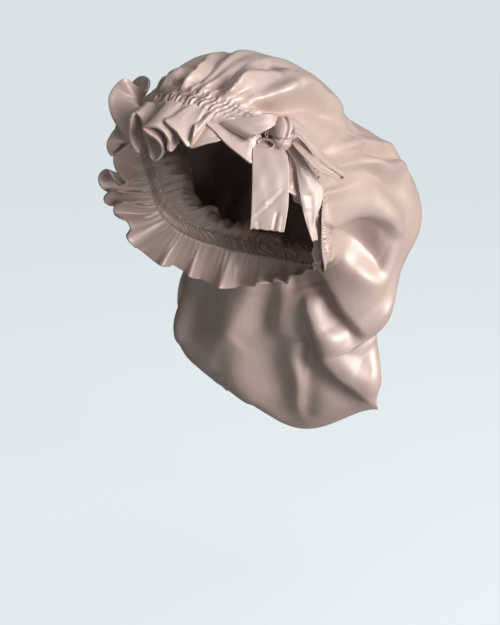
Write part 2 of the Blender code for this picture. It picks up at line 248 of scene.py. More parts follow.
def mesh_object(name: str, *patches: Patch) -> bpy.types.Object:
    """Makes one smooth mesh object of patches, and welds the points that coincide.

    Args:
        name: The object's name.
        patches: The patches.

    Returns:
        The object, linked to the scene, with a UV map named cloth.
    """
    points = np.concatenate([patch.grid.reshape(-1, 3) for patch in patches])
    sizes = [patch.grid.shape[0] * patch.grid.shape[1] for patch in patches]
    starts = np.concatenate([[0], np.cumsum(sizes)[:-1]])
    numbered = [patch_faces(patch) for patch in patches]
    faces = np.concatenate([part[0] + start for part, start in zip(numbered, starts)])
    uv = np.concatenate([part[1] for part in numbered])

    mesh = bpy.data.meshes.new(name)
    mesh.vertices.add(len(points))
    mesh.vertices.foreach_set("co", points.astype(np.float32).ravel())
    mesh.loops.add(faces.size)
    mesh.loops.foreach_set("vertex_index", faces.astype(np.int32).ravel())
    mesh.polygons.add(len(faces))
    mesh.polygons.foreach_set("loop_start", np.arange(0, faces.size, 4, dtype=np.int32))
    layer = mesh.uv_layers.new(name="cloth")
    layer.data.foreach_set("uv", uv.astype(np.float32).ravel())
    mesh.update()
    mesh.validate()
    shape = bmesh.new()
    shape.from_mesh(mesh)
    bmesh.ops.remove_doubles(shape, verts=shape.verts, dist=WELD)
    shape.to_mesh(mesh)
    shape.free()
    mesh.polygons.foreach_set("use_smooth", np.ones(len(mesh.polygons), bool))

    piece = bpy.data.objects.new(name, mesh)
    bpy.context.scene.collection.objects.link(piece)
    return piece


def slab(grid: Array, wall: float) -> Patch:
    """Gives an open sheet a wall and closes all its edges.

    One side is the grid pushed out by half the wall, the other the grid pushed in. At
    each end an extra row draws both together on the middle line.

    Args:
        grid: Points in metres.
        wall: The wall's thickness in metres.

    Returns:
        The closed patch.
    """
    push = grid_normals(grid, closed=False) * wall / 2
    around = np.concatenate([grid + push, (grid - push)[:, ::-1]], axis=1)
    middle = np.concatenate([grid, grid[:, ::-1]], axis=1)
    return Patch(np.concatenate([middle[:1], around, middle[-1:]]), False, True)


def thicken(piece: bpy.types.Object, wall: float, offset: float) -> None:
    """Gives a sheet its wall.

    Args:
        piece: The sheet.
        wall: The wall's thickness in metres.
        offset: 1 adds it on the outer side, -1 on the inner side.
    """
    shell = piece.modifiers.new("wall", "SOLIDIFY")
    shell.thickness = wall
    shell.offset = offset
    shell.use_even_offset = False


# ---- Shader groups and finishes -----------------------------------------------------
def new_group(name: str, takes: dict[str, tuple[str, object]], gives: dict[str, str]) -> bpy.types.NodeTree:
    """Starts a shader node group with named sockets.

    Args:
        name: The group's name.
        takes: Each input's socket type and starting value, by name.
        gives: Each output's socket type, by name.

    Returns:
        The group's node tree, with its input and output nodes.
    """
    tree = bpy.data.node_groups.new(name, "ShaderNodeTree")
    for label, (kind, value) in takes.items():
        socket = tree.interface.new_socket(label, in_out="INPUT", socket_type=kind)
        if value is not None:
            socket.default_value = value
    for label, kind in gives.items():
        tree.interface.new_socket(label, in_out="OUTPUT", socket_type=kind)
    tree.nodes.new("NodeGroupInput").name = "in"
    tree.nodes.new("NodeGroupOutput").name = "out"
    return tree


def math_node(tree: bpy.types.NodeTree, kind: str, first: object, second: object) -> bpy.types.NodeSocket:
    """Adds a Math node and returns its output.

    Args:
        tree: The node tree.
        kind: The operation.
        first: A socket or a number.
        second: A socket or a number.

    Returns:
        The node's output socket.
    """
    node = tree.nodes.new("ShaderNodeMath")
    node.operation = kind
    for slot, value in enumerate((first, second)):
        if isinstance(value, bpy.types.NodeSocket):
            tree.links.new(value, node.inputs[slot])
        else:
            node.inputs[slot].default_value = value
    return node.outputs[0]


def wire(tree: bpy.types.NodeTree, *wires: tuple[bpy.types.Node, str, bpy.types.Node, str | int]) -> None:
    """Links one node's output to another's input, for each wire."""
    for source, given, target, taken in wires:
        tree.links.new(source.outputs[given], target.inputs[taken])


class SatinGroups:
    """The shader groups that all the satin finishes share, built once."""

    def __init__(self) -> None:
        """Builds the groups."""
        self.weave = self._weave()
        self.tone = self._tone()

    def _weave(self) -> bpy.types.NodeTree:
        """Fine satin floats: noise drawn out along the cloth.

        Returns:
            A group from a UV vector in metres to a height of 0 to 1.
        """
        tree = new_group(
            "satin_weave",
            {"Vector": ("NodeSocketVector", None), "Threads": ("NodeSocketFloat", 1400.0)},
            {"Height": "NodeSocketFloat"},
        )
        into, out = tree.nodes["in"], tree.nodes["out"]
        stretch = tree.nodes.new("ShaderNodeMapping")
        stretch.inputs["Scale"].default_value = (1.0, 0.06, 1.0)
        floats = tree.nodes.new("ShaderNodeTexNoise")
        floats.inputs["Detail"].default_value = 2.0
        wire(
            tree,
            (into, "Vector", stretch, "Vector"),
            (stretch, "Vector", floats, "Vector"),
            (into, "Threads", floats, "Scale"),
            (floats, "Fac", out, "Height"),
        )
        return tree

    def _tone(self) -> bpy.types.NodeTree:
        """Slow changes of dye and gloss: noise mixes a lighter and a darker shade.

        Returns:
            A group from an object position to a colour, a roughness and a crumple height.
        """
        tree = new_group(
            "satin_tone",
            {
                "Vector": ("NodeSocketVector", None),
                "Light": ("NodeSocketColor", (0.6, 0.42, 0.35, 1.0)),
                "Dark": ("NodeSocketColor", (0.5, 0.33, 0.27, 1.0)),
                "Roughness": ("NodeSocketFloat", 0.36),
                "Patch": ("NodeSocketFloat", 28.0),
            },
            {"Color": "NodeSocketColor", "Roughness": "NodeSocketFloat", "Crumple": "NodeSocketFloat"},
        )
        into, out = tree.nodes["in"], tree.nodes["out"]
        finer, uneven_by = 4.0, 0.12
        patch = tree.nodes.new("ShaderNodeTexNoise")
        patch.inputs["Detail"].default_value = 3.0
        fine = tree.nodes.new("ShaderNodeTexNoise")
        fine.inputs["Detail"].default_value = 4.0
        fine.inputs["Roughness"].default_value = 0.55
        for noise in (patch, fine):
            tree.links.new(into.outputs["Vector"], noise.inputs["Vector"])
        tree.links.new(into.outputs["Patch"], patch.inputs["Scale"])
        tree.links.new(math_node(tree, "MULTIPLY", into.outputs["Patch"], finer), fine.inputs["Scale"])
        mix = tree.nodes.new("ShaderNodeMix")
        mix.data_type = "RGBA"
        wire(
            tree,
            (patch, "Fac", mix, "Factor"),
            (into, "Dark", mix, "A"),
            (into, "Light", mix, "B"),
            (mix, "Result", out, "Color"),
        )
        uneven = math_node(tree, "SUBTRACT", fine.outputs["Fac"], 0.5)
        swing = math_node(tree, "MULTIPLY", uneven, uneven_by)
        rough = math_node(tree, "ADD", into.outputs["Roughness"], swing)
        tree.links.new(rough, out.inputs["Roughness"])
        tree.links.new(fine.outputs["Fac"], out.inputs["Crumple"])
        return tree


@dataclass(frozen=True)
class Satin:
    """A finish of dusty rose satin.

    Attributes:
        name: The material's name.
        light: The lighter shade, linear.
        dark: The darker shade, linear.
        roughness: The mean roughness.
        lustre: How far it mirrors in its own colour, as silk floats do.
        crumple: Depth of the fine creases, in metres.
        weave: Depth of the threads, in metres.
        patch: Patches of tone in a metre.
        coat: Strength of the clear gloss over the colour.
        coat_roughness: The gloss's roughness.
        sheen: Strength of the fuzz at grazing angles.
        sheen_roughness: The fuzz's roughness.
    """

    name: str
    light: Colour = (0.555, 0.422, 0.368, 1.0)
    dark: Colour = (0.475, 0.345, 0.294, 1.0)
    roughness: float = 0.47
    lustre: float = 0.08
    crumple: float = 0.0003
    weave: float = 0.00004
    patch: float = 28.0
    coat: float = 0.35
    coat_roughness: float = 0.40
    sheen: float = 0.10
    sheen_roughness: float = 0.4

    def material(self, groups: SatinGroups) -> bpy.types.Material:
        """Builds the material.

        Args:
            groups: The shared shader groups.

        Returns:
            The finished material.
        """
        material = bpy.data.materials.new(self.name)
        material.use_nodes = True
        tree = material.node_tree
        shader = tree.nodes["Principled BSDF"]
        where = tree.nodes.new("ShaderNodeTexCoord")
        tone = tree.nodes.new("ShaderNodeGroup")
        tone.node_tree = groups.tone
        for name in ("light", "dark", "roughness", "patch"):
            tone.inputs[name.capitalize()].default_value = getattr(self, name)
        weave = tree.nodes.new("ShaderNodeGroup")
        weave.node_tree = groups.weave
        wire(
            tree,
            (where, "Object", tone, "Vector"),
            (where, "UV", weave, "Vector"),
            (tone, "Color", shader, "Base Color"),
            (tone, "Roughness", shader, "Roughness"),
        )
        creases, threads = (tree.nodes.new("ShaderNodeBump") for _ in range(2))
        for bump, depth in ((creases, self.crumple), (threads, self.weave)):
            bump.inputs["Distance"].default_value = depth
            bump.inputs["Strength"].default_value = 1.0
        wire(
            tree,
            (tone, "Crumple", creases, "Height"),
            (weave, "Height", threads, "Height"),
            (creases, "Normal", threads, "Normal"),
            (threads, "Normal", shader, "Normal"),
        )
        constants = {
            "Metallic": self.lustre,
            "Specular IOR Level": 1.0,
            "Coat Weight": self.coat,
            "Coat Roughness": self.coat_roughness,
            "Sheen Weight": self.sheen,
            "Sheen Roughness": self.sheen_roughness,
        }
        for socket, value in constants.items():
            shader.inputs[socket].default_value = value
        return material


def dress(piece: bpy.types.Object, material: bpy.types.Material, slot: str, *nodes: str) -> None:
    """Gives a piece its material, its body and the nodes that it stands for.

    Args:
        piece: The finished piece.
        material: Its material.
        slot: The record's material slot. It is not used.
        nodes: The construction nodes that it replaces.
    """
    piece.data.materials.clear()
    piece.data.materials.append(material)
    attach(piece, BODY)
    if nodes:
        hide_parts(*nodes)
    LOG.info("%s: %d faces", piece.name, len(piece.data.polygons))


# ---- The head opening ---------------------------------------------------------------
class BandPoint(NamedTuple):
    """A point on the casing's middle line, on the wearer's left half."""

    degrees: float
    x: float
    y: float
    z: float


class BandFrame(NamedTuple):
    """Points on the casing's middle line, with the ways along it, to the face and out."""

    point: Array
    along: Array
    face: Array
    out: Array


@dataclass(frozen=True)
class HeadBand:
    """The line that the casing follows round the head, as the construction model has it."""

    line: tuple[BandPoint, ...] = rows_of(
        BandPoint,
        (0.0, 0.0, -89.0, 70.0), (22.5, 32.0, -82.0, 65.5), (45.0, 58.0, -60.0, 52.5),
        (67.5, 72.0, -34.0, 31.0), (90.0, 76.5, -10.0, 2.0), (112.5, 74.5, 5.0, -28.0),
        (135.0, 65.0, 32.0, -49.0), (157.5, 38.0, 62.0, -61.0), (180.0, 0.0, 76.0, -64.0),
    )
    askew: float = 0.10
    head_centre: Triple = (0.0, 2.0, 5.0)
    head_half_sizes: Triple = (75.0, 93.0, 96.0)
    width: float = 13.0

    def points(self, turns: Array) -> Array:
        """Reads the middle line: a closed smooth curve, mirrored and then set askew.

        Args:
            turns: Places round the head, in turns from the forehead.

        Returns:
            Points in millimetres.
        """
        half = columns(self.line)
        degrees = np.concatenate([half["degrees"], 360.0 - half["degrees"][-2:0:-1]])
        x, y, z = (
            round_smooth(turns, degrees / 360.0, np.concatenate([half[axis], sign * half[axis][-2:0:-1]]))
            for axis, sign in (("x", -1.0), ("y", 1.0), ("z", 1.0))
        )
        return np.stack([x, y, z - self.askew * x], axis=-1)

    def frame(self, turns: Array) -> BandFrame:
        """Reads the line with its three ways: the tangent, the head's normal and their cross.

        Args:
            turns: Places round the head, in turns.

        Returns:
            The points in millimetres, and unit vectors.
        """
        step = 1e-3
        point = self.points(turns)
        along = unit(self.points(turns + step) - self.points(turns - step))
        radial = (point - self.head_centre) / np.square(self.head_half_sizes)
        out = across(radial, along)
        return BandFrame(point, along, np.cross(along, out), out)


# ---- Lines of sight -----------------------------------------------------------------
@dataclass(frozen=True)
class Sight:
    """The view from the front left, in which the ruffle and the bow are laid out.

    Across and up are places in the plane through the origin that faces the eye, and
    near is the distance from that plane to the eye's side. All are in millimetres.
    """

    eye: Triple = (438.4, -898.8, 100.0)
    yaw: float = 25.4877
    tilt: float = 11.5367

    def ways(self) -> tuple[Array, Array, Array]:
        """The view's own ways.

        Returns:
            Unit vectors to the right, up and ahead.
        """
        yaw, tilt = math.radians(self.yaw), math.radians(self.tilt)
        right = np.array([math.cos(yaw), math.sin(yaw), 0.0])
        ahead = np.array([-math.sin(yaw) * math.cos(tilt), math.cos(yaw) * math.cos(tilt), -math.sin(tilt)])
        return right, np.cross(right, ahead), ahead

    def nearness(self, points: Array) -> Array:
        """How far points lie on the eye's side of the plane."""
        return -points @ self.ways()[2]

    def place(self, across: Array, up: Array, near: Array) -> Array:
        """Finds the points on the lines of sight through places in the plane.

        A point is eye + (place - eye) (depth - near) / depth, where depth is the
        eye's distance from the plane.

        Args:
            across: Places across the plane.
            up: Places up the plane.
            near: Distances towards the eye.

        Returns:
            The points.
        """
        right, above, ahead = self.ways()
        eye = np.array(self.eye)
        depth = -float(eye @ ahead)
        place = np.multiply.outer(across, right) + np.multiply.outer(up, above)
        return eye + (place - eye) * ((depth - near) / depth)[..., None]


# ---- Ruching ------------------------------------------------------------------------
@dataclass(frozen=True)
class Ruching:
    """The slanted puckers that the elastic makes, shared by the casing and the crown's edge.

    Attributes:
        slant: How far a ridge leans over the casing's width, in turns.
        sway: How far it snakes, in turns.
        floor: The least height, as a share.
        uneven: How far the ridges' places wander slowly, in ridges.
        jitter: How far they wander quickly.
        even: The usual height, as a share.
        spread: How far that wanders.
        bluntness: The power that rounds a ridge.
    """

    puckers: int = 124
    height: float = 2.2
    slant: float = 0.014
    sway: float = 0.0018
    floor: float = 0.12
    uneven: float = 0.55
    jitter: float = 0.07
    even: float = 0.85
    spread: float = 0.50
    bluntness: float = 0.8

    def ridge(self, turns: Array, over: Array, count: int) -> Array:
        """Ridges |cos(pi n (turn - lean + noise))|^bluntness, round on top and sharp between.

        The lean grows with the place over the casing and sways like an S, so the ridges
        slant and snake.

        Args:
            turns: Places round the head.
            over: Places over the casing: 0 at the ruffle, 1 at the crown, more beyond it.
            count: Ridges in a turn.

        Returns:
            Heights from 0 to 1.
        """
        lean = self.slant * (over - 0.5) + self.sway * np.sin(2 * np.pi * (over + 7 * turns))
        slow = self.uneven * wander(turns, over, 21, waves=31, rows=0.12)
        noise = slow + self.jitter * wander(turns, over, 22, waves=70, rows=0.6)
        return np.abs(np.cos(np.pi * count * (turns - lean + noise / self.puckers))) ** self.bluntness

    def push(self, turns: Array, over: Array) -> Array:
        """How far the ruching stands out: a floor plus ridges of uneven height.

        Args:
            turns: Places round the head.
            over: Places over the casing.

        Returns:
            Heights in millimetres.
        """
        strong = np.clip(self.even + self.spread * wander(turns, over, 23, waves=75, rows=0.8), 0.15, 1.6)
        return self.height * (self.floor + strong * self.ridge(turns, over, self.puckers))


# ---- Crown and bag ------------------------------------------------------------------
class Section(NamedTuple):
    """A cross-section of the crown and bag, at a station from the casing to the seam."""

    station: float
    top_y: float
    top_z: float
    under_y: float
    under_z: float
    half_width: float
    middle_x: float
    squareness: float
    corner_rise: float


class Fold(NamedTuple):
    """A fold of cloth: its crest, its widths, and its route as (turn, station, height) rows.

    The low and high widths are on the sides of the lower and the higher turns.
    """

    name: str
    crest: Crest
    low: float
    high: float
    route: tuple[Triple, ...]


def soft(name: str, low: float, high: float, *route: Triple) -> Fold:
    """Makes a round fold."""
    return Fold(name, Crest.ROUND, low, high, route)


def sharp(name: str, low: float, high: float, *route: Triple) -> Fold:
    """Makes a sharp fold."""
    return Fold(name, Crest.SHARP, low, high, route)


@dataclass(frozen=True)
class FoldField:
    """Heights of folds over a gridded sheet. Lengths are in millimetres.

    Attributes:
        reach: How many widths from its route a fold is worked out.
        slant_limit: The most that the metric may be slanted, as a share.
        narrow: The share of its width that a fold has at the casing.
        widening: How much it gains beyond the crown's gathers.
        wide_station: The station where it has gained all of that.
        sharp_gain: How much higher a sharp fold is drawn.
        blunt: Rounds the tip of a sharp fold, as a squared length.
        tip: The root of that, which keeps the tip at full height.
        rounding: How round a sharp fold is in the end.
        least_girth: The tube's least girth.
        turn_length: The length of a turn, roughly.
        tube_length: The length of the tube, roughly.
        tail: How far a route is carried on at its end.
        bag_tail: The share of that on the bag.
        bag_station: The station where the bag starts.
        head: How far a route is carried on at its start.
        casing_station: The last station where a route counts as starting at the casing.
    """

    turns: Array
    stations: Array
    grid: Array
    reach: float = 3.4
    slant_limit: float = 0.6
    narrow: float = 0.75
    widening: float = 0.65
    wide_station: float = 0.17
    sharp_gain: float = 1.25
    blunt: float = 0.6
    tip: float = 0.77
    rounding: float = 0.8
    least_girth: float = 330.0
    turn_length: float = 450.0
    tube_length: float = 500.0
    tail: float = 42.0
    bag_tail: float = 0.4
    bag_station: float = 0.3
    head: float = 18.0
    casing_station: float = 0.03

    def heights(self, folds: Sequence[Fold]) -> Array:
        """Adds up the folds' heights.

        Args:
            folds: The folds.

        Returns:
            Heights in millimetres, over the grid.
        """
        slope_u, slope_v = self._slopes()
        e, g = np.sum(slope_u**2, axis=-1), np.sum(slope_v**2, axis=-1)
        most = self.slant_limit * np.sqrt(e * g)
        stretch = e, np.clip(np.sum(slope_u * slope_v, axis=-1), -most, most), g
        total = np.zeros(self.turns.shape)
        for crease in folds:
            LOG.debug("fold %s", crease.name)
            self._add(total, crease, stretch)
        return total

    def _slopes(self) -> tuple[Array, Array]:
        """How the grid's points move, from their neighbours' differences.

        Returns:
            Millimetres for a turn, and for a station.
        """
        ahead, behind = np.roll(self.turns, -1, 0), np.roll(self.turns, 1, 0)
        turns = np.unwrap(np.stack([behind, self.turns, ahead]), axis=0, period=1.0)
        step = np.roll(self.grid, -1, 0) - np.roll(self.grid, 1, 0)
        along = np.gradient(self.grid, axis=1) / np.gradient(self.stations, axis=1)[..., None]
        return step / (turns[2] - turns[0])[..., None], along

    def _add(self, total: Array, crease: Fold, stretch: tuple[Array, ...]) -> None:
        """Adds one fold's heights near its route.

        The distance d from a point to the nearest piece of the route comes from the
        sheet's own metric, E du^2 + 2F du dv + G dv^2, whose slant F is held back. The
        height is exp(-d^2 / 2w^2) when round and exp(-d / w), slightly blunted and
        higher, when sharp, with w by the side. Away from the casing folds grow wider,
        and the sharp ones rounder.

        Args:
            total: The heights to add to.
            crease: The fold.
            stretch: The metric's E, F and G.
        """
        rows = self._carried_on(np.array(crease.route))
        known = np.linspace(0.0, 1.0, len(rows))
        t = np.linspace(0.0, 1.0, 6 * len(rows))
        turn, station, height = (smooth(t, known, rows[:, k]) for k in range(3))
        width = max(crease.low, crease.high) * self.reach
        middle = (turn.min() + turn.max()) / 2
        sideways = (self.turns[:, 0] - middle + 0.5) % 1.0 - 0.5
        long_way = np.sqrt(stretch[2]).min(axis=0)
        i = np.flatnonzero(np.abs(sideways) < (turn.max() - turn.min()) / 2 + width / self.least_girth)
        gap = np.maximum(station.min() - self.stations[0], self.stations[0] - station.max())
        j = np.flatnonzero(gap * long_way < width)
        if not len(i) or not len(j):
            return
        pick = np.ix_(i, j)
        e, f, g = (part[pick] for part in stretch)
        du = (self.turns[pick] - middle + 0.5) % 1.0 - 0.5 + middle
        best = np.full(du.shape, np.inf)
        side = np.zeros(du.shape)
        high = np.zeros(du.shape)
        for k in range(len(t) - 1):
            ru, rv = turn[k + 1] - turn[k], station[k + 1] - station[k]
            pu, pv = du - turn[k], self.stations[pick] - station[k]
            size = np.maximum(e * ru * ru + 2 * f * ru * rv + g * rv * rv, 1e-9)
            share = np.clip((e * pu * ru + f * (pu * rv + pv * ru) + g * pv * rv) / size, 0.0, 1.0)
            qu, qv = pu - share * ru, pv - share * rv
            far = e * qu * qu + 2 * f * qu * qv + g * qv * qv
            near = far < best
            best = np.where(near, far, best)
            side = np.where(near, rv * qu - ru * qv, side)
            high = np.where(near, height[k] + share * (height[k + 1] - height[k]), high)
        far_on = ease(self.stations[pick] / self.wide_station)
        spread = np.where(side > 0, crease.high, crease.low) * (self.narrow + self.widening * far_on)
        bell = np.exp(-0.5 * best / spread**2)
        if crease.crest is Crest.SHARP:
            high = self.sharp_gain * high
            cusp = np.exp(-(np.sqrt(best + self.blunt) - self.tip) / spread)
            bell = cusp + (bell - cusp) * self.rounding * far_on
        total[pick] += high * bell

    def _carried_on(self, rows: Array) -> Array:
        """Carries a route straight on at its ends, so that its height fades to nothing.

        A route that starts at the casing isn't carried on there, and one that ends on
        the bag is carried on by less there.

        Args:
            rows: The route's (turn, station, height) rows.

        Returns:
            The longer route.
        """
        rows = rows.copy()
        rows[:, 0] = np.unwrap(rows[:, 0], period=1.0)
        last, first = rows[-1] - rows[-2], rows[0] - rows[1]
        tail = self.tail if rows[-1, 1] < self.bag_station else self.bag_tail * self.tail
        grow = tail / math.hypot(self.turn_length * last[0], self.tube_length * last[1])
        end = [rows[-1, 0] + last[0] * grow, rows[-1, 1] + last[1] * grow, 0.0]
        rows = np.concatenate([rows, [end]])
        if rows[0, 1] < self.casing_station:
            return rows
        grow = self.head / math.hypot(self.turn_length * first[0], self.tube_length * first[1])
        start = [rows[0, 0] + first[0] * grow, rows[0, 1] + first[1] * grow, 0.0]
        return np.concatenate([[start], rows])


@dataclass
class ClothRelaxer:
    """Settles a gridded tube of cloth by moving its points to keep their distances.

    Each pass moves every point by the mean of what its links ask: a link between two
    points asks each for half of its stretch. Links join neighbours both ways, the two
    diagonals, and every second point, which resists bending. Gravity and a weak pull to
    the aim act after each pass.
    """

    passes: int = 60
    stretch: float = 1.0
    shear: float = 0.35
    bend: float = 0.12
    aim_pull: float = 0.006
    gravity: float = 0.012
    rate: float = 0.30

    def settle(self, start: Array, aim: Array, spare: Array) -> Array:
        """Runs the passes.

        Args:
            start: The grid to settle, in millimetres, closed round its first axis.
            aim: The grid that it is drawn to.
            spare: Extra length of the cloth at each point, as a share.

        Returns:
            The settled grid.
        """
        x = start.astype(np.float32)
        goal = aim.astype(np.float32)
        shares = spare.astype(np.float32)
        links = [(1, 0, self.stretch), (0, 1, self.stretch), (1, 1, self.shear), (1, -1, self.shear)]
        links += [(2, 0, self.bend), (0, 2, self.bend)]
        rests = [
            np.linalg.norm(self._gaps(goal, i, j), axis=-1) * (1 + self._starts(shares, j))
            for i, j, _ in links
        ]
        for _ in range(self.passes):
            change = np.zeros_like(x)
            for (i, j, strength), rest in zip(links, rests):
                gap = self._gaps(x, i, j)
                length = np.sqrt(np.einsum("ijk,ijk->ij", gap, gap)) + 1e-6
                move = gap * (strength * 0.5 * (length - rest) / length)[..., None]
                first, second = self._starts(change, j), self._starts(change, -j)
                first += move
                second -= np.roll(move, i, axis=0)
            change *= self.rate
            change[:, :, 2] -= self.gravity
            change += self.aim_pull * (goal - x)
            change[:, 0] = 0.0
            x[:, :-1] += change[:, :-1]
        return x.astype(float)

    @staticmethod
    def _starts(grid: Array, j: int) -> Array:
        """A view of the points that have another one j steps further along."""
        return grid[:, : grid.shape[1] - j] if j >= 0 else grid[:, -j:]

    @classmethod
    def _gaps(cls, grid: Array, i: int, j: int) -> Array:
        """The way from each point to the one i steps round and j steps along."""
        return cls._starts(np.roll(grid, -i, axis=0), -j) - cls._starts(grid, j)


